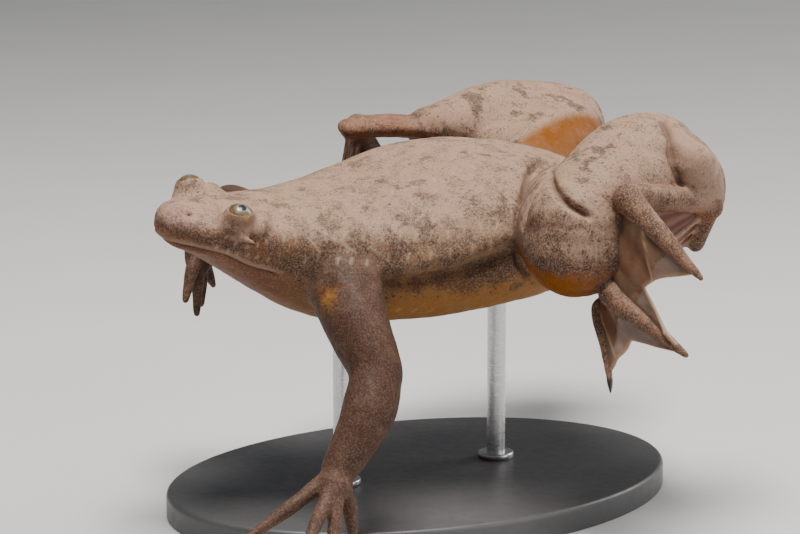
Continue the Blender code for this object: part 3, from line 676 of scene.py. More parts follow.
CREASES = (
    (((9.0, 2.6, 6.9), (12.4, 4.6, 6.8), (15.4, 7.8, 6.2), (17.6, 10.8, 4.4),
      (18.4, 12.4, 0.3), (17.4, 12.4, -1.1), (15.6, 11.4, -2.9)), 0.75, 0.02),
    (((13.8, 8.2, 8.8), (15.4, 11.0, 8.6), (19.3, 16.1, 9.2), (21.2, 19.0, 9.4),
      (21.9, 20.9, 9.1), (21.9, 22.4, 8.6), (21.0, 23.8, 8.1), (20.2, 24.5, 7.7)), 0.66, 0.05),
)
CREASE_WIDTH = 0.30
for line, depth, roll in CREASES:
    rows, distance, along, over = near_line(line, 3.2)
    ends = step(0, 0.10, along) * step(1, 0.82, along)
    lift[rows] += ends * (roll * bell(distance - 1.1, 0.7) - depth * bell(distance, CREASE_WIDTH))
    # Painted shade: the crease is darkened along its line.
    strongest(drawn_crease, rows, ends * bell(distance, 0.6 * CREASE_WIDTH))
print("lifts from", round(lift.min(), 2), "to", round(lift.max(), 2), "mm")

# %% [markdown]
# Along its flanks and round its eyes the clawed frog carries rows of short pale bars, like stitches.
# They are its lateral line, which feels the water move. Each bar here is a small raised stroke across its
# row. A few fine scratches cross the shoulder.

# %% Lateral line stitches and scratches
STITCH_ROWS = (
    (((40.6, 6.7, 0.9), (36.4, 7.6, 1.8), (31.0, 9.4, 2.0),
      (26.0, 11.0, 2.6), (20.5, 11.4, 3.8), (15.0, 9.9, 4.6)), 17, 0.95),
    (((38.6, 7.9, -1.4), (35.6, 8.9, -0.6), (31.0, 10.2, -0.4),
      (26.0, 11.7, 0.4), (21.0, 12.2, 1.6)), 11, 0.85),
    (((39.4, 3.0, 2.9), (34.0, 3.6, 3.7), (28.0, 4.2, 5.0), (22.0, 4.4, 6.2), (16.0, 4.0, 6.6)), 11, 0.75),
    (((37.0, 6.2, -6.2), (31.0, 8.6, -7.0), (25.0, 9.6, -6.8), (19.0, 9.4, -5.6)), 11, 0.8),
    (((46.6, 3.2, 1.5), (45.4, 4.6, 0.5), (43.6, 5.7, -0.2), (41.8, 6.3, 0.4), (41.2, 5.6, 2.0)), 9, 0.5),
    (((46.2, 4.3, -0.6), (44.6, 5.2, -0.9), (43.0, 5.9, -1.2), (41.2, 6.6, -1.6)), 6, 0.45),
)
SCRATCHES = (
    ((36.6, 6.4, 1.3), (35.6, 7.0, 0.7), (34.7, 7.8, 0.3), (33.7, 8.4, -0.2)),
    ((34.9, 7.5, 0.7), (34.3, 8.0, 0.2), (34.4, 8.3, -0.1)),
    ((32.4, 8.6, 0.3), (31.6, 9.0, -0.1), (31.1, 9.2, -0.5)),
    ((38.0, 6.5, 0.6), (37.3, 7.0, 0.0), (36.8, 7.4, -0.6)),
)


def draw_stitches(line, count, length, aslant=0.35):
    """Short strokes across a row, each laid flat on the skin."""
    where = (np.arange(count) + 0.5) / count
    centres = at(curve_points(line, where))
    before, after = np.maximum(where - 0.01, 0), np.minimum(where + 0.01, 1)
    ahead = at(curve_points(line, after) - curve_points(line, before))
    for centre, along in zip(centres, ahead):
        gap = np.linalg.norm(skin_points - centre, axis=1)
        closest = gap.argmin()
        normal = facing[closest]
        along = along / np.linalg.norm(along)
        across = np.cross(normal, along) + aslant * along
        across /= np.linalg.norm(across)
        beside = np.cross(normal, across)
        inside = np.flatnonzero(gap < length + gap[closest])
        offset = skin_points[inside] - skin_points[closest]
        ends = step(0.62 * length, 0.36 * length, np.abs(offset @ across))
        strongest(stitch, inside, bell(offset @ beside, 0.13) * ends)


for line, count, length in STITCH_ROWS:
    for turned in SIDES.values():
        draw_stitches(turned(line), count, length)
for line in SCRATCHES:
    samples = at(curve_points(line, np.linspace(0, 1, 40)))
    on_skin = np.array([skin_points[((skin_points - sample) ** 2).sum(1).argmin()] for sample in samples])
    inside = np.flatnonzero((np.abs(skin_points - on_skin.mean(0)) < 4).all(1))
    gap = np.linalg.norm(skin_points[inside, None] - on_skin[None], axis=2).min(1)
    strongest(stitch, inside, bell(gap, 0.11))
lift += 0.045 * stitch
print(2 * sum(count for line, count, length in STITCH_ROWS), "stitches")

# %% [markdown]
# Living skin is never quite even. A few sine waves that cross at odd angles give broad, soft dents, and
# they are calmer on the head.

# %% Soft unevenness
rng = np.random.default_rng(7)


def ripple(size, count):
    """Waves of about one size in many directions, from -1 to 1."""
    total = np.zeros(len(skin_points))
    for _ in range(count):
        direction = rng.normal(size=3)
        direction *= 2 * math.pi / (size * rng.uniform(0.7, 1.4) * np.linalg.norm(direction))
        total += np.sin(skin_points @ direction + rng.uniform(0, 2 * math.pi))
    return total / math.sqrt(0.5 * count) / 2.4


uneven = 0.045 * ripple(4.2, 9) + 0.022 * ripple(1.7, 12)
lift += uneven * (0.3 + 0.7 * step(45.5, 38.0, forward))
skin_points = smooth(skin_points + facing * lift[:, None], 0.5, 1)
print("skin moved by", round(float(np.abs(lift).mean()), 3), "mm on average")

# %% [markdown]
# The lids lie over the eye like a thin cap with a round hole in it. Near an eye each point is moved along
# the line from the eye's centre: inside the hole it sinks into the ball, at the rim it stands a little
# proud, and below the rim it hugs the ball. A zone for gold marks where the ball tints the thin lower lid.

# %% Eye openings and lids
OPENING = 44.0
lid, lid_root_shade, lid_gold, lid_edge_shadow = np.zeros((4, len(skin_points)))
for side in SIDES:
    centre, outward = at(eye_centres[side]), at(eye_outwards[side])
    offset = skin_points - centre
    radius = np.linalg.norm(offset, axis=1)
    polar = np.degrees(np.arccos(np.clip(offset @ outward / radius, -1, 1)))
    low_side = at((0.0, 1.0 if side == "left" else -1.0, -0.45))
    droop = offset @ (low_side / np.linalg.norm(low_side)) / radius
    rim = OPENING - 26.0 * np.maximum(droop, -0.1)
    hugging = EYE_RADIUS + 0.06 + 0.03 * bell(polar - rim - 9, 6)
    wanted = EYE_RADIUS - 0.22 + (hugging - EYE_RADIUS + 0.22) * step(rim - 5, rim + 6, polar)
    held = step(98, 58, polar) * step(2.6, 2.1, radius)
    skin_points = centre + offset * ((radius + (wanted - radius) * held) / radius)[:, None]
    straight_down = step(0.86, 0.975, droop / np.sin(np.radians(np.clip(polar, 20, 160))))
    covered = step(rim - 4, rim + 3, polar) * step(104, 60, polar)
    lid = np.maximum(lid, covered * step(2.3, 1.9, radius) * step(-0.3, 0.35, droop))
    lid_gold = np.maximum(lid_gold, bell(polar - rim - 15, 7) * straight_down)
    # Painted shade where the lid meets the mound, and painted shadow along the lower lid's rim.
    lid_root_shade = np.maximum(lid_root_shade, bell(polar - 98, 9) * step(2.6, 2.1, radius) * step(-0.2, 0.5, droop))
    lower = step(2.0, 1.8, radius) * step(-0.5, 0.2, droop)
    lid_edge_shadow = np.maximum(lid_edge_shadow, bell(polar - rim - 1, 3.2) * lower)
facing = normals_of(skin_points, skin_faces)
print("lids of", int((lid > 0.5).sum()), "points")

# %% [markdown]
# Hollows are painted darker than ridges, as painted shade for the light that reaches into them less. The step
# from each point to the middle of a wide neighbourhood, taken along its direction, tells the two apart.

# %% Painted shade in the hollows of the skin
wide_mean = smooth(skin_points, 0.5, int(14 * per_mm ** 2))
hollow = smoothed(((wide_mean - skin_points) * facing).sum(1), 2)
# Painted shade: the hollows, the limb creases and the band under the flank fold.
hollow = np.maximum.reduce([step(0.012, 0.075, hollow), 0.8 * drawn_crease, 0.95 * flank_fold_shadow])
print("hollow points:", int((hollow > 0.5).sum()))

# %% [markdown]
# The colours follow the body: grey-beige on the back, browner on the sides of the head, ochre low on the
# flanks, pinkish on the throat and orange under the legs. Each zone becomes one number per point, from 0
# to 1, that the material reads. Formulas place them, so the edges stay soft.

# %% Colour zones
GROUPS = {
    "trunk": ("trunk", "mound", "brow", "nostril", "feeler"),
    "thigh": ("thigh",), "calf": ("calf", "heel", "ham"), "ankle": ("ankle",), "foot": ("toe", "sole"),
    "arm": ("upper",), "forearm": ("forearm",), "hand": ("finger", "palm"),
}
ARMPIT = (36.9, 9.8, -4.1)
RAY_BONES = 17


def gap_to(*kinds):
    """How far each point lies outside the nearest form of some kinds."""
    return distances[:, [index for index, name in enumerate(names) if name.split("_")[0] in kinds]].min(1)


def patch(place, radius):
    """A soft ball of colour round a place."""
    return bell(np.linalg.norm(skin_points - at(place), axis=1), radius)


reach = np.stack([gap_to(*kinds) for kinds in GROUPS.values()], 1)
weight = np.exp(-(reach - reach.min(1)[:, None]) / 0.7)
weight /= weight.sum(1)[:, None]
on = dict(zip(GROUPS, weight.T))
share = forward / SVL
width, top, level, bottom = trunk_sizes(share)
height = np.where(up > level, (up - level) / (top - level), (up - level) / (level - bottom))
legs = on["thigh"] + on["calf"] + on["ankle"]
arms = on["arm"] + on["forearm"]
armpits = 1.2 * np.maximum(*(patch(turned(ARMPIT), 1.15) for turned in SIDES.values()))
# Painted light: the upper part of the heel band is painted paler, with less orange, rose and stipple, as if
# lit from above.
heel = np.exp(-np.maximum(gap_to("heel"), 0) / 0.5) * step(1.5, 3.5, up - 5.0)
feelers = np.exp(-np.maximum(gap_to("feeler"), 0) / 0.12)
far_thigh = step(-0.8, 0.6, left - 0.37 * forward + 9.5) * step(-1.0, -3.0, left)
rays = np.zeros(len(skin_points))
for form in forms:
    if form["name"].startswith("toe_") and not form["name"].endswith("_5"):
        bones = form["centres"][:RAY_BONES]
        close = np.flatnonzero((np.abs(skin_points - bones.mean(0)) < 14).all(1))
        gap = np.linalg.norm(skin_points[close, None] - bones[None], axis=2) - form["radii"][:RAY_BONES]
        strongest(rays, close, step(0.25, 0.05, gap.min(1)))
print("points on legs:", int((legs > 0.5).sum()), "and on arms:", int((arms > 0.5).sum()))

# %% [markdown]
# Each zone is a product of soft steps. The steps read how far along the body a point lies, how high up
# its side, and which way it faces.

# %% The zones in numbers
trunk, foot, hand, ankle = on["trunk"], on["foot"], on["hand"], on["ankle"]
downward = facing[:, 2]
side_of_head = trunk * step(0.70, 0.86, share) * step(-0.55, -0.15, height) * step(0.80, 0.30, height)
zones = {
    "belly": trunk * step(-0.15, -0.85, height),
    "throat": trunk * step(-0.30, -0.62, height) * step(0.66, 0.82, share),
    "ochre": (
        trunk * step(-0.02, -0.35, height) * step(0.74, 0.62, share) * step(-1.0, -0.7, height) + armpits
    ),
    "orange": (
        legs * step(-0.28, -0.52, downward) * (1 - heel) + foot * 0.08 + ankle * 0.15
        + legs * (0.95 * far_thigh + 0.6 * patch((4.0, 7.0, 3.0), 3.0))
    ),
    "stipple": (
        trunk * (0.46 + 0.40 * step(1.0, 0.1, height)) * step(-0.60, -0.22, height) + 0.95 * arms + 0.9 * hand
        + legs * (0.40 + 0.42 * step(0.75, 0.0, downward)) + 0.85 * foot + 0.35 * side_of_head
    ),
    "rosy": 0.4 * arms + 0.5 * hand + 0.75 * foot + 0.75 * ankle + 0.95 * legs * step(0.45, -0.20, downward),
    # The arms and hands get their own darker brown, deepened further as painted shade.
    "arm": arms + 0.8 * hand,
    "cluster": legs + foot,
    "flank": trunk * step(0.70, 0.05, height) * step(0.0, 0.12, share),
    "head": side_of_head,
    "snout": trunk * step(0.90, 0.965, share) * step(0.1, 0.6, height),
}
zones = {name: np.clip(values, 0, 1) for name, values in zones.items()}
zones["rosy"] *= (1 - 0.85 * heel) * (1 - 0.6 * rays)
zones["stipple"] *= 1 - 0.75 * zones["orange"]
zones["stipple"] *= (1 - 0.7 * np.clip(armpits, 0, 1)) * (1 - 0.55 * heel)
zones["stipple"] *= 1 - 0.8 * np.maximum(rays, feelers)
zones = {name: smoothed(values, 6) for name, values in zones.items()}
# Pale places: lips, toe rays, feelers and nostril rings, with painted light on the heel band.
pale = np.maximum.reduce([0.85 * lip_pale, 0.8 * rays, feelers, 0.8 * pale_ring, 0.5 * heel])
zones["pale"] = np.clip(pale, 0, 1)
# Painted shade in the mouth groove, the nostril pits and the folds and rim of the lids.
crease = np.clip(mouth_groove_shade + nostril_pit_shade * 1.2 + 0.20 * lid_root_shade, 0, 1)
crease = np.maximum(crease, 0.7 * lid_edge_shadow)
zones.update(stitch=stitch, hollow=hollow, lid=lid, gold=lid_gold, crease=crease)
print("zones:", ", ".join(f"{name} {values.mean():.2f}" for name, values in zones.items()))

# %% [markdown]
# The sculpted points go into a mesh in the model's own place. Every zone is stored on the mesh under its
# name, where the material finds it.

# %% The skin as a piece
def piece_of(name, points, faces, replaced=(), values=None):
    """A smooth mesh from points in world metres, riding on the body of the model."""
    piece = new_object(name, points, faces)
    piece.data.shade_smooth()
    for zone, numbers in (values or {}).items():
        stored = piece.data.attributes.new(zone, "FLOAT", "POINT")
        stored.data.foreach_set("value", np.asarray(numbers, np.float32))
    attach(piece, "root")
    if replaced:
        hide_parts(*replaced)
    return piece


flesh = [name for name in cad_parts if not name.startswith(("eye", "claw", "stand"))]
skin = piece_of("skin", to_world(skin_points), skin_faces.tolist(), flesh, zones)
print("the skin replaces", len(flesh), "nodes:", ", ".join(sorted(flesh)))

# %% [markdown]
# A web is a thin sheet of skin between two toes. It is stretched over the knuckles, its free edge is
# hollow, and one strong fold runs along it like the rib of a fan. Each row below gives, for one web, how
# deep the hollow is, where it is deepest, where the fold starts and ends between the two toes, and how far
# out along them it starts.

# %% Webs
WEB_HALF, WEB_REACH = 0.07, 0.97
WEB_ALONG, WEB_ACROSS = 84, 60
WEB_SHAPES = (
    (0.14, 0.50, 0.50, 0.50, 0.47), (0.14, 0.50, 0.45, 0.60, 0.47),
    (0.13, 0.56, 0.20, 0.22, 0.47), (0.22, 0.36, 0.92, 0.10, 0.70),
)


def sheet_normals(points):
    """Which way a sheet of rows of points faces, at each point."""
    normal = np.cross(np.gradient(points, axis=0), np.gradient(points, axis=1))
    return normal / np.maximum(np.linalg.norm(normal, axis=2), 1e-9)[..., None]


def web_shell(first, second, shape, seed):
    """Points, faces and values of a thin web between two toe lines."""
    hollow, deepest, fold_from, fold_to, fold_start = shape
    beside = np.linspace(0, 1, WEB_ACROSS + 1)[None]
    ahead = np.linspace(0, 1, WEB_ALONG + 1)[:, None]
    dip = np.minimum(beside / deepest, (1 - beside) / (1 - deepest)) ** 0.8
    edge = WEB_REACH * (1 - hollow * dip) + 0.006 * np.sin(9 * beside + seed)
    where = 0.03 + (edge - 0.03) * ahead
    start, end = (curve_points(line, where.ravel()).reshape(*where.shape, 3) for line in (first, second))
    points = at(start + (end - start) * beside[..., None])
    gap = np.linalg.norm(end - start, axis=2)
    held = np.sin(math.pi * beside) ** 0.7
    rib = fold_from + (fold_to - fold_from) * np.clip((where - fold_start) / (0.89 - fold_start), 0, 1)
    tent = 1 - np.maximum((rib - beside) / rib, (beside - rib) / (1 - rib))
    chance = np.random.default_rng(seed).uniform(0, 6)
    small = np.sin(2 * math.pi * (3.1 * beside + 1.3 * ahead) + chance)
    raised = 0.10 * tent * step(fold_start - 0.25, fold_start + 0.08, where)
    points = points + sheet_normals(points) * (gap * (raised + 0.012 * held * small))[..., None]
    normal = sheet_normals(points)
    ribbed = bell((beside - rib) * gap, 0.11) * step(fold_start - 0.12, fold_start + 0.05, where)
    rimmed = bell((1 - ahead) * edge * 20, 0.22)
    thick = (WEB_HALF * (1.0 + 0.9 * rimmed + 0.8 * ribbed + 1.2 * (1 - held)))[..., None]
    shell = np.concatenate([points + normal * thick, points - normal * thick]).reshape(-1, 3)
    grid = np.arange(where.size).reshape(where.shape)
    quads = np.stack([grid[:-1, :-1], grid[:-1, 1:], grid[1:, 1:], grid[1:, :-1]], -1).reshape(-1, 4)
    rim = np.concatenate([grid[0, :-1], grid[:-1, -1], grid[-1, :0:-1], grid[:0:-1, 0]])
    after = np.roll(rim, -1)
    sides = np.stack([rim, rim + where.size, after + where.size, after], -1)
    faces = np.concatenate([quads[:, ::-1], quads + where.size, sides[:, ::-1]])
    values = {"ahead": where, "beside": beside, "held": held, "rim": np.maximum(rimmed, ribbed)}
    values = {name: np.tile(np.broadcast_to(each, gap.shape).ravel(), 2) for name, each in values.items()}
    return shell, faces.tolist(), values


webs = []
for side in SIDES:
    for index, shape in enumerate(WEB_SHAPES):
        lines = toe_lines[side, index], toe_lines[side, index + 1]
        points, faces, values = web_shell(*lines, shape, 10 + index)
        webs.append(piece_of(f"web_{side}_{index + 1}", to_world(points), faces, (), values))
print(len(webs), "webs,", 2 * WEB_HALF, "mm thick")

# %% [markdown]
# The eye is a ball with its pole turned the way the eye looks. Two numbers per point, the angle from that
# pole and the angle round it, are enough for the material to draw the pupil and the iris.

# %% Eyes
EYE_SIDES, EYE_RINGS = 96, 64


def level_across(along):
    """The level direction at right angles to a line."""
    across = np.cross(along, (0.0, 0.0, 1.0))
    return across / np.linalg.norm(across)


def eye_piece(side):
    """An eyeball with a slight bulge over the pupil."""
    centre, outward = at(eye_centres[side]), at(eye_outwards[side])
    first = level_across(outward)
    second = np.cross(first, outward)
    polar = np.linspace(0, math.pi, EYE_RINGS + 2)[1:-1]
    angle = round_angles(EYE_SIDES)
    radial = EYE_RADIUS * (1.0 + 0.05 * bell(polar, 0.55))
    out, wide = ((share * radial)[:, None, None] for share in (np.cos(polar), np.sin(polar)))
    ring = first * np.cos(angle)[None, :, None] + second * np.sin(angle)[None, :, None]
    points = outward * out + wide * ring
    points = np.concatenate([[outward * EYE_RADIUS * 1.05], points.reshape(-1, 3), [-outward * EYE_RADIUS]])
    values = {
        "polar": np.concatenate([[0.0], np.repeat(polar, EYE_SIDES), [math.pi]]),
        "around": np.concatenate([[0.0], np.tile(angle, EYE_RINGS), [0.0]]),
    }
    faces = ring_faces(EYE_RINGS, EYE_SIDES)
    points = to_world(points + centre)
    return piece_of("eyeball_" + side, points, faces, ("eye_" + side,), values)


eyes = [eye_piece(side) for side in SIDES]
print("eyes of", EYE_RADIUS, "mm radius")

# %% [markdown]
# The three inner toes of each hind foot end in short black claws, which give the animal its name. A claw
# is a curved cone that starts inside the tip of its toe and droops a little.

# %% Claws
CLAW_LENGTH, CLAW_RADIUS = 0.9, 0.28
CLAW_ROOT, CLAW_TALL = 0.25, 0.85
CLAW_SIDES, CLAW_RINGS = 28, 26


def claw_piece(side, index):
    """One claw, along the last part of its toe."""
    knuckle, tip, radius = TOES[side][index]
    knuckle, tip = np.array(knuckle), np.array(tip)
    along = (tip - knuckle) / np.linalg.norm(tip - knuckle)
    share = np.linspace(0, 1, CLAW_RINGS)
    total = CLAW_LENGTH + TOE_TIP + CLAW_ROOT + 0.2
    centres = tip - along * CLAW_ROOT + along * total * share[:, None]
    line = at(centres + np.array((0, 0, -0.25)) * (share ** 2)[:, None])
    widths = 1.04 * CLAW_RADIUS * (0.94 + 0.10 * np.sin(math.pi * share)) * (1 - share ** 2.3) ** 0.75
    along = at(along)
    first = level_across(along)
    second = np.cross(along, first)
    angle = round_angles(CLAW_SIDES)[:, None]
    ring = first * np.cos(angle) + CLAW_TALL * second * np.sin(angle)
    points = (line[:-1, None] + widths[:-1, None, None] * ring[None]).reshape(-1, 3)
    points = np.concatenate([[line[0] - 0.1 * along], points, [line[-1]]])
    values = {"ahead": np.concatenate([[0.0], np.repeat(share[:-1], CLAW_SIDES), [1.0]])}
    name = f"claw_{side}_{index + 1}"
    faces = ring_faces(CLAW_RINGS - 1, CLAW_SIDES)
    return piece_of("horn_" + name, to_world(points), faces, (name,), values)


claws = [claw_piece(side, index) for side in SIDES for index in range(CLAWED_TOES)]
print(len(claws), "claws of", CLAW_LENGTH, "mm")

# %% [markdown]
# The stand is a flat oval base and two thin rods that reach up into the breast and the pelvis. The base
# has a softly rounded upper edge, and a small collar sits round each rod where it meets the base.

# %% Stand
BASE_LENGTH, BASE_WIDTH, BASE_THICK, BASE_ROUND = 52.0, 38.0, 2.4, 0.5
ROD_RADIUS, ROD_SINK = 0.9, 0.6
ROD_AT = {"front": 0.60 * SVL, "back": 0.24 * SVL}
COLLAR = ((0, -0.05), (1.75, -0.05), (1.75, 0.45), (1.68, 0.58), (1.55, 0.62), (0.93, 0.62), (0, 0.6))


def turned_piece(name, profile, centre, replaced, sides, wide=1.0, long=1.0):
    """A round piece from a profile of (radius, height) in millimetres, stretched into an oval if asked."""
    angle = round_angles(sides)
    profile = np.asarray(profile, float)
    middle = profile[1:-1, None]
    rings = np.stack([
        middle[..., 0] * wide * np.cos(angle)[None] + centre[0],
        middle[..., 0] * long * np.sin(angle)[None] + centre[1],
        middle[..., 1] + 0 * angle[None],
    ], -1).reshape(-1, 3)
    points = np.concatenate([[(*centre, profile[0, 1])], rings, [(*centre, profile[-1, 1])]])
    return piece_of(name, points * MM, ring_faces(len(profile) - 2, sides), replaced)


def oval_profile():
    """The base in section: a flat underside, a small foot radius, an upright side and a rounded top edge."""
    corner = np.linspace(0, math.pi / 2, 9)
    low = [(1 - 0.004 * (1 - math.sin(a)) * 2, 0.15 * (1 - math.cos(a))) for a in corner]
    inset = BASE_ROUND / (BASE_LENGTH / 2)
    high = [(1 - inset * (1 - math.cos(a)), BASE_THICK - BASE_ROUND * (1 - math.sin(a))) for a in corner]
    top = [(share, BASE_THICK) for share in (0.97, 0.6, 0.3, 0)]
    return [(0, 0), (0.5, 0), (0.985, 0), *low, *high, *top]


oval = oval_profile()
half_wide, half_long = BASE_WIDTH / 2, BASE_LENGTH / 2
base = turned_piece("stand_plate", oval, (0, 0), ("stand_base",), 200, half_wide, half_long)
stand = [base]
for name, place in ROD_AT.items():
    under = trunk_sizes(np.array([place / SVL]))[3][0]
    centre = to_world(at((place, 0.0, 0.0)))[:2] / MM
    high = to_world(at((place, 0.0, under)))[2] / MM + ROD_SINK
    profile = [(0, BASE_THICK - 0.1), (ROD_RADIUS, BASE_THICK - 0.1)]
    profile += [(ROD_RADIUS, height) for height in np.linspace(BASE_THICK, high, 24)] + [(0, high)]
    ring = [(radius, BASE_THICK + rise) for radius, rise in COLLAR]
    rod = "stand_rod_" + name
    stand.append(turned_piece("stand_steel_" + name, profile, centre, (rod,), 48))
    stand.append(turned_piece("stand_collar_" + name, ring, centre, (), 64))
print("rods rise to", round(high, 1), "mm")

# %% [markdown]
# The materials come last. A value is an output of a node, and sums with values become math nodes, so that
# a mask can be written like ordinary arithmetic. Smaller helpers add one node each.

# %% Helpers that wire nodes
class Value:
    """An output of a node. Arithmetic with it adds math nodes to its tree."""

    def __init__(self, tree, socket):
        self.tree, self.socket = tree, socket

    def math(self, operation, *values):
        made = self.tree.nodes.new("ShaderNodeMath")
        made.operation = operation
        for socket, value in zip(made.inputs, values or (self,)):
            feed(socket, value)
        return Value(self.tree, made.outputs[0])

    def __add__(self, other):
        return self.math("ADD", self, other)

    def __sub__(self, other):
        return self.math("SUBTRACT", self, other)

    def __rsub__(self, other):
        return self.math("SUBTRACT", other, self)

    def __mul__(self, other):
        return self.math("MULTIPLY", self, other)

    def __truediv__(self, other):
        return self.math("DIVIDE", self, other)

    def __abs__(self):
        return self.math("ABSOLUTE")

    def clamped(self):
        """The same value, kept between 0 and 1."""
        self.socket.node.use_clamp = True
        return self

    def other(self, output):
        """Another output of the same node."""
        return Value(self.tree, self.socket.node.outputs[output])


def feed(socket, value):
    """Sets an input, or links it when the value is another node's output."""
    if isinstance(value, Value):
        value.tree.links.new(value.socket, socket)
    elif socket.type == "RGBA":
        socket.default_value = (*value, 1.0)
    else:
        socket.default_value = value


def put(tree, kind, output=0, **settings):
    """An output of a new node. A setting that names one of its inputs goes there, others are properties."""
    made = tree.nodes.new("ShaderNode" + kind)
    for name, value in settings.items():
        plain = name.replace("_", " ").title()
        if plain in made.inputs:
            feed(made.inputs[plain], value)
        else:
            setattr(made, name, value)
    return Value(tree, made.outputs[output])


def between(value, low, high, out_low=0.0, out_high=1.0):
    """A value stretched smoothly from one range to another."""
    return put(value.tree, "MapRange", interpolation_type="SMOOTHSTEP", value=value,
               from_min=low, from_max=high, to_min=out_low, to_max=out_high)


def blend(share, first, second):
    """Two colours mixed by a share."""
    made = share.tree.nodes.new("ShaderNodeMix")
    made.data_type = "RGBA"
    for index, value in ((0, share), (6, first), (7, second)):
        feed(made.inputs[index], value)
    return Value(share.tree, made.outputs[2])


def bump(height, distance, strength, **under):
    """A normal that carries a height, over another normal if one is given."""
    return put(height.tree, "Bump", height=height, distance=distance, strength=strength, **under)


def zone(tree, name):
    """A zone stored on the mesh."""
    return put(tree, "Attribute", "Fac", attribute_name=name)


def here(tree):
    """The place of the shaded point on the model, in metres."""
    return put(tree, "TexCoord", "Object")


def noise(tree, scale, detail, roughness, vector=None, **more):
    """A noise texture over the model, or over another vector."""
    vector = vector or here(tree)
    return put(tree, "TexNoise", vector=vector, scale=scale, detail=detail, roughness=roughness, **more)


print("node helpers ready")

# %% [markdown]
# Effects that more than one material needs are kept in node groups with named inputs and outputs. A group
# only puts out a mask or a height. Specks are the dark pigment cells of the skin. A cell texture scatters
# them and a second number per cell leaves some out. Grain is the same pigment where it crowds into an
# uneven net: a fine noise is cut off at a level that falls as the cover rises.

# %% Node groups
def group(name, output, **inputs):
    """An empty node group with named number sockets: its tree, its given values and its result."""
    tree = bpy.data.node_groups.new(name, "ShaderNodeTree")
    for socket, value in inputs.items():
        made = tree.interface.new_socket(socket.title(), in_out="INPUT", socket_type="NodeSocketFloat")
        made.default_value = value
    tree.interface.new_socket(output, in_out="OUTPUT", socket_type="NodeSocketFloat")
    given = tree.nodes.new("NodeGroupInput").outputs
    result = tree.nodes.new("NodeGroupOutput").inputs[output]
    return tree, [Value(tree, given[index]) for index in range(len(inputs))], result


def use(tree, made, **values):
    """The output of a node that stands for a group, with its inputs fed."""
    return put(tree, "Group", node_tree=made, **values)


specks, (scale, size, cover), result = group("specks", "Mask", scale=3000.0, size=0.3, cover=0.5)
cells = put(specks, "TexVoronoi", "Distance", vector=here(specks), scale=scale, randomness=1.0)
chance = put(specks, "SeparateColor", color=cells.other("Color"))
wide = size * (chance.other(1) + 0.55)
there = between(cover - chance, 0.0, 0.08)
feed(result, (between(cells, wide, wide * 0.55) * there).clamped())

grain, (scale, cover, soft), result = group("grain", "Mask", scale=5000.0, cover=0.5, soft=0.06)
over = noise(grain, scale, 3.0, 0.62) - (0.70 - cover * 0.28)
feed(result, ((over + soft) / (soft * 2.0)).clamped())

mottle, (scale, low, high, rough), result = group(
    "mottle", "Mask", scale=300.0, low=0.45, high=0.65, rough=0.55,
)
feed(result, between(noise(mottle, scale, 5.0, rough), low, high))

relief, (scale,), result = group("fine_relief", "Height", scale=3500.0)
pores = put(relief, "TexVoronoi", "Distance", vector=here(relief), scale=scale, randomness=1.0)
feed(result, pores * -0.5 + noise(relief, scale * 0.33, 4.0, 0.5))


def clouds(tree, scale, low, high, rough):
    """Soft mottling, cut off below one level of its noise and full above another."""
    return use(tree, mottle, scale=scale, low=low, high=high, rough=rough)


print("node groups:", ", ".join(tree.name for tree in (specks, grain, mottle, relief)))

# %% [markdown]
# The skin starts from a warm grey-beige and takes each zone's colour in turn. The arms are painted darker as
# painted shade, and the heel band paler as painted light. Specks, grey blotches and pale stitches come over
# that, and painted shade darkens the hollows, the creases, the mouth, the nostrils and the lid edges. Light
# sinks a little way in and comes out warm. The highlights stay soft, because the skin is rough and its coat
# is very slight.

# %% Skin material
BACK, BACK_PINK, SNOUT = (0.300, 0.198, 0.133), (0.325, 0.198, 0.150), (0.330, 0.200, 0.160)
# The arm colour is the arms' own brown, darkened further as painted shade.
FLANK, HEAD_SIDE, ARM_TONE_AND_SHADE = (0.150, 0.072, 0.031), (0.140, 0.055, 0.025), (0.062, 0.027, 0.018)
OCHRE, THROAT, BELLY = (0.280, 0.125, 0.034), (0.135, 0.054, 0.030), (0.240, 0.118, 0.056)
ORANGE, ROSY, PALE = (0.175, 0.052, 0.0004), (0.135, 0.047, 0.026), (0.340, 0.210, 0.155)
SPECK, BLOTCH, STITCH = (0.050, 0.024, 0.017), (0.105, 0.078, 0.066), (0.520, 0.400, 0.290)
# The crease colour is the dark of painted shade.
CREASE_SHADE, LID, GOLD = (0.050, 0.022, 0.014), (0.105, 0.050, 0.030), (0.330, 0.180, 0.035)
ZONE_TINTS = (
    ("flank", FLANK, 0.78), ("rosy", ROSY, 0.85), ("arm", ARM_TONE_AND_SHADE, 0.94),
    ("belly", BELLY, 0.85), ("ochre", OCHRE, 0.95), ("throat", THROAT, 0.95),
    ("head", HEAD_SIDE, 0.95), ("snout", SNOUT, 0.9), ("orange", ORANGE, 1.0),
)
DUST = ((4300.0, 0.95, 0.45), (8200.0, 0.92, 0.42), (2100.0, 0.60, 0.38))
DOTS = ((3200.0, 0.36, 0.62, 0.75), (5600.0, 0.40, 0.60, 0.60))


def material(name, pieces, **values):
    """A new material on some pieces, with constants on its shader. Gives its tree and the shader's inputs."""
    made = bpy.data.materials.new(name)
    made.use_nodes = True
    tree = made.node_tree
    tree.nodes.clear()
    shader = tree.nodes.new("ShaderNodeBsdfPrincipled")
    out = tree.nodes.new("ShaderNodeOutputMaterial")
    tree.links.new(shader.outputs[0], out.inputs["Surface"])
    for key, value in values.items():
        shader.inputs[key.replace("_", " ").title().replace("Ior", "IOR")].default_value = value
    for piece in pieces:
        piece.data.materials.append(made)
    return tree, shader.inputs


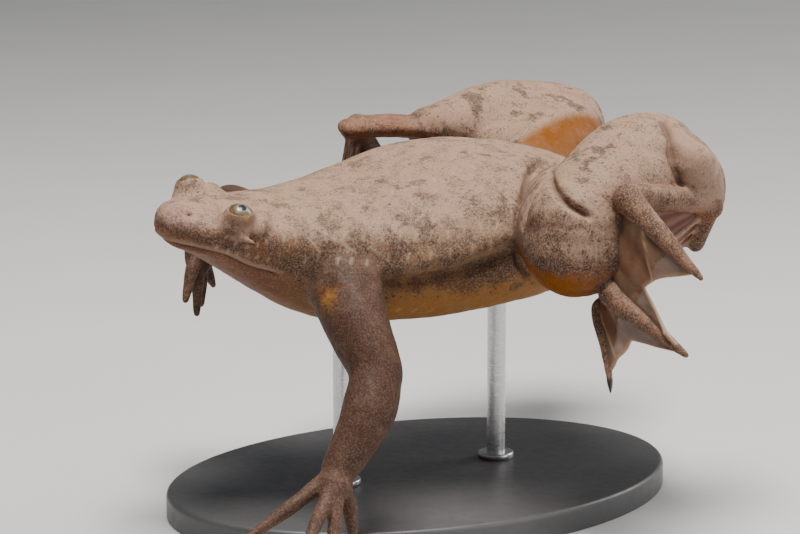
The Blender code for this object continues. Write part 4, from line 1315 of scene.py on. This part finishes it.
tree, shader = material(
    "frog_skin", [skin], ior=1.38, subsurface_weight=0.10, subsurface_radius=(0.0008, 0.00035, 0.0002),
    subsurface_scale=1.0, coat_weight=0.02, coat_roughness=0.3, specular_ior_level=0.20,
)
z = {name: zone(tree, name) for name in zones}
colour = blend(clouds(tree, 170.0, 0.35, 0.70, 0.6) * 0.6, BACK, BACK_PINK)
uneven = clouds(tree, 480.0, 0.20, 0.62, 0.65)
for name, tint, most in ZONE_TINTS:
    colour = blend((z[name] * (uneven * (most * 0.40) + most * 0.72)).clamped(), colour, tint)
bare = (1.0 - (z["belly"] + (z["orange"] + z["throat"]).clamped()).clamped()).clamped()
blotch = clouds(tree, 300.0, 0.53, 0.63, 0.70) * bare
patchy = clouds(tree, 620.0, 0.40, 0.60, 0.65)
gathered = blotch * (z["cluster"] * 0.45 + 0.45)
crowd = (z["stipple"] * (patchy * 0.85 + 0.38) + gathered).clamped()
colour = blend(gathered * 0.30, colour, BLOTCH)
for scale, cover, dark in DUST:
    colour = blend(use(tree, grain, scale=scale, cover=crowd * cover) * dark, colour, SPECK)
for scale, size, cover, dark in DOTS:
    colour = blend(use(tree, specks, scale=scale, size=size, cover=crowd * cover) * dark, colour, SPECK)
tinted = z["arm"] * 0.21 + z["orange"] * 0.26 + (z["ochre"] + z["head"]) * 0.12
pale = use(tree, grain, scale=6100.0, cover=z["stipple"] * 0.30 + 0.30)
colour = blend(pale * (0.30 - tinted).clamped(), colour, STITCH)
# Painted light on the heel band comes in with the pale places here.
colour = blend(z["pale"] * 0.70, colour, PALE)
colour = blend(z["stitch"] * 0.32, colour, STITCH)
# Painted shade in the hollows and creases.
colour = blend(z["hollow"] * 0.55, colour, CREASE_SHADE)
colour = blend(z["lid"] * (z["gold"] * 0.32 + 0.60), colour, blend(z["gold"], LID, GOLD))
# Painted shade in the mouth, the nostrils and the lid edges.
feed(shader["Base Color"], blend((z["crease"] * 0.85).clamped(), colour, CREASE_SHADE))
feed(shader["Roughness"], between(clouds(tree, 1500.0, 0.30, 0.70, 0.6), 0.0, 1.0, 0.54, 0.68))
fine = bump(use(tree, relief, scale=4600.0), 0.00005, 0.6)
feed(shader["Normal"], bump(use(tree, relief, scale=1300.0), 0.00012, 0.55, normal=fine))
print("skin material of", len(tree.nodes), "nodes")

# %% [markdown]
# The webs share the specks and the relief. Fine veins run out along the sheet, and the skin between the
# toes lets some of what lies behind it show.

# %% Web material
WEB, WEB_PALE, WEB_ROOT = (0.120, 0.068, 0.038), (0.180, 0.115, 0.072), (0.120, 0.032, 0.016)
WEB_RIM, VEIN = (0.330, 0.220, 0.140), (0.070, 0.028, 0.018)

tree, shader = material(
    "frog_web", webs, roughness=0.42, ior=1.38, subsurface_weight=0.3,
    subsurface_radius=(0.0008, 0.0004, 0.0002), subsurface_scale=1.0, coat_weight=0.10, coat_roughness=0.25,
    specular_ior_level=0.35,
)
ahead = zone(tree, "ahead")
lines = put(tree, "CombineXYZ", x=zone(tree, "beside") * 9.0, y=ahead * 3.0)
vein = between(abs(noise(tree, 2.2, 6.0, 0.65, lines, distortion=0.4) - 0.5), 0.030, 0.0)
at_root = between(ahead, 0.46, 0.30)
dots = use(tree, specks, scale=4600.0, size=0.34, cover=0.30)
pale_rim = (zone(tree, "rim") * 0.75).clamped()
colour = blend(clouds(tree, 520.0, 0.35, 0.70, 0.6), WEB, WEB_PALE)
for mask, tint in ((at_root, WEB_ROOT), (vein * 0.40, VEIN), (dots * 0.55, SPECK), (pale_rim, WEB_RIM)):
    colour = blend(mask, colour, tint)
feed(shader["Base Color"], colour)
solid = between(zone(tree, "held"), 0.1, 0.75, 0.97, 0.74)
feed(shader["Alpha"], (solid + (pale_rim * 0.3 + vein * 0.12 + at_root * 0.3)).clamped())
feed(shader["Normal"], bump(use(tree, relief, scale=2600.0), 0.00005, 0.6))
print("web material of", len(tree.nodes), "nodes")

# %% [markdown]
# The pupil of this frog is round. The iris round it is silvery with flecks of gold and dark threads that
# run outwards. A clear, smooth coat over the whole ball gives a small sharp highlight.

# %% Eye material
PUPIL = 0.25
tree, shader = material("frog_eye", eyes, roughness=0.42, coat_weight=0.45, coat_roughness=0.06, ior=1.38)
polar, around = zone(tree, "polar"), zone(tree, "around")
ray_place = put(tree, "CombineXYZ", x=around.math("COSINE"), y=around.math("SINE"), z=polar * 0.7)
threads = noise(tree, 7.0, 8.0, 0.75, ray_place)
silver = blend(between(threads, 0.36, 0.64), (0.085, 0.068, 0.045), (0.235, 0.200, 0.140))
golden = blend(between(threads, 0.40, 0.60), (0.085, 0.046, 0.024), (0.210, 0.130, 0.055))
colour = blend(between(polar, 0.42, 0.64), silver, golden)
flecks = use(tree, specks, scale=9000.0, size=0.5, cover=0.6)
bright_ring = between(abs(polar - (PUPIL + 0.05)), 0.07, 0.01)
outside = between(polar, 0.98, 1.12)
for mask, tint in (
    (flecks * 0.5, (0.10, 0.06, 0.03)), (bright_ring * 0.5, (0.34, 0.30, 0.21)),
    (between(polar, PUPIL + 0.02, PUPIL - 0.02), (0.004, 0.004, 0.005)), (outside, (0.070, 0.050, 0.035)),
):
    colour = blend(mask, colour, tint)
feed(shader["Base Color"], colour)
feed(shader["Metallic"], (between(polar, PUPIL, PUPIL + 0.06) - outside).clamped() * 0.30)
print("eye material of", len(tree.nodes), "nodes")

# %% [markdown]
# Claws are horn: nearly black, a little brown where they leave the toe, with fine uneven streaks in colour
# and relief.
# The base is satin lacquer with the faintest orange-peel, and the rods are brushed steel.

# %% Claw and stand materials
tree, shader = material("frog_claw", claws, roughness=0.26, coat_weight=0.4, coat_roughness=0.15)
streak = noise(tree, 2600.0, 5.0, 0.6)
horn = blend(streak, (0.012, 0.009, 0.008), (0.045, 0.030, 0.022))
feed(shader["Base Color"], blend(between(zone(tree, "ahead"), 0.45, 0.15), horn, (0.130, 0.070, 0.045)))
feed(shader["Normal"], bump(streak, 0.00004, 0.5))

tree, shader = material("stand_lacquer", [base], ior=1.5, coat_weight=0.15, coat_roughness=0.3)
cloudy = clouds(tree, 160.0, 0.30, 0.75, 0.6)
feed(shader["Base Color"], blend(cloudy, (0.060, 0.060, 0.062), (0.078, 0.077, 0.076)))
feed(shader["Roughness"], between(clouds(tree, 900.0, 0.3, 0.7, 0.6), 0.0, 1.0, 0.42, 0.52))
feed(shader["Normal"], bump(use(tree, relief, scale=1400.0), 0.00002, 0.4))

tree, shader = material("stand_steel", stand[1:], metallic=1.0)
place = put(tree, "SeparateXYZ", vector=here(tree))
brushed = put(tree, "CombineXYZ", x=place * 900.0, y=place.other(1) * 900.0, z=place.other(2) * 9000.0)
hairs = noise(tree, 1.0, 4.0, 0.6, brushed)
feed(shader["Base Color"], blend(hairs, (0.52, 0.52, 0.53), (0.66, 0.66, 0.67)))
feed(shader["Roughness"], between(hairs, 0.3, 0.7, 0.24, 0.40))
feed(shader["Normal"], bump(hairs, 0.00002, 0.3))
print("materials:", ", ".join(look.name for look in bpy.data.materials if look.users))

# %% [markdown]
# A museum would show the model on a plain pale surface under soft light. The floor is not part of the model.

# %% Floor, world and lamps
FLOOR_HALF = 3.0
LAMPS_AIM = (0, 0, 20)
corners = [(x * FLOOR_HALF, y * FLOOR_HALF, 0) for x, y in ((-1, -1), (1, -1), (1, 1), (-1, 1))]
floor = new_object("floor", corners, [(0, 1, 2, 3)])
tree, shader = material("pale_floor", [floor], roughness=0.7)
cloudy = clouds(tree, 30.0, 0.3, 0.7, 0.5)
feed(shader["Base Color"], blend(cloudy, (0.60, 0.595, 0.585), (0.62, 0.615, 0.605)))

world = bpy.data.worlds.new("studio")
bpy.context.scene.world = world
world.use_nodes = True
background = world.node_tree.nodes["Background"].inputs
background["Color"].default_value = (0.80, 0.86, 0.95, 1.0)
background["Strength"].default_value = 0.18


def lamp(name, place, size, power, colour):
    """A square soft lamp, placed in millimetres and aimed at the frog."""
    data = bpy.data.lights.new(name, "AREA")
    data.shape = "SQUARE"
    data.size = size * MM
    data.energy = power
    data.color = colour
    made = bpy.data.objects.new(name, data)
    bpy.context.scene.collection.objects.link(made)
    made.location = Vector(place) * MM
    made.rotation_euler = (Vector(LAMPS_AIM) - Vector(place)).to_track_quat("-Z", "Y").to_euler()


lamp("key", (40, -30, 340), 150, 2.2, (1.0, 0.96, 0.91))
lamp("fill", (340, 170, 150), 240, 0.42, (0.94, 0.97, 1.0))
lamp("rim", (60, 880, 480), 480, 5.0, (1.0, 0.98, 0.94))
print("three lamps")

# %% [markdown]
# The camera stands low, in front of the frog's left shoulder, with a long lens. The focal length is given
# in pixels of a picture 800 wide. A small turn then puts the middle of the body on a chosen pixel.

# %% Camera
AZIMUTH, ELEVATION, DISTANCE = 56.0, 10.0, 259.6
FOCAL, WIDE = 2734.0, 800.0
AIM_AT = (0.45 * SVL, 0.0, 0.0)
AIM_PIXEL, MIDDLE = (408.0, 221.0), (400.0, 267.0)
SENSOR = 36.0

camera_data = bpy.data.cameras.new("camera")
camera = bpy.data.objects.new("camera", camera_data)
bpy.context.scene.collection.objects.link(camera)
bpy.context.scene.camera = camera
camera_data.sensor_width = SENSOR
camera_data.lens = FOCAL / WIDE * SENSOR
camera_data.clip_start, camera_data.clip_end = 0.01, 20.0
azimuth, elevation = math.radians(AZIMUTH), math.radians(ELEVATION)
level_out = math.cos(elevation)
back = Vector((math.sin(azimuth) * level_out, -math.cos(azimuth) * level_out, math.sin(elevation)))
camera.location = Vector(to_world(at(AIM_AT))) + back * DISTANCE * MM
across, down = (math.atan((pixel - middle) / FOCAL) for pixel, middle in zip(AIM_PIXEL, MIDDLE))
nudge = Matrix.Rotation(down, 3, "X") @ Matrix.Rotation(across, 3, "Y")
camera.rotation_euler = ((-back).to_track_quat("-Z", "Y").to_matrix() @ nudge).to_euler()
print("camera", [round(value, 4) for value in camera.location], "in metres")

# %% Sizes and finish
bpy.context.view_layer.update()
pieces = (skin, *webs, *eyes, *claws, *stand)
print("triangles in all:", sum(len(face.vertices) - 2 for piece in pieces for face in piece.data.polygons))
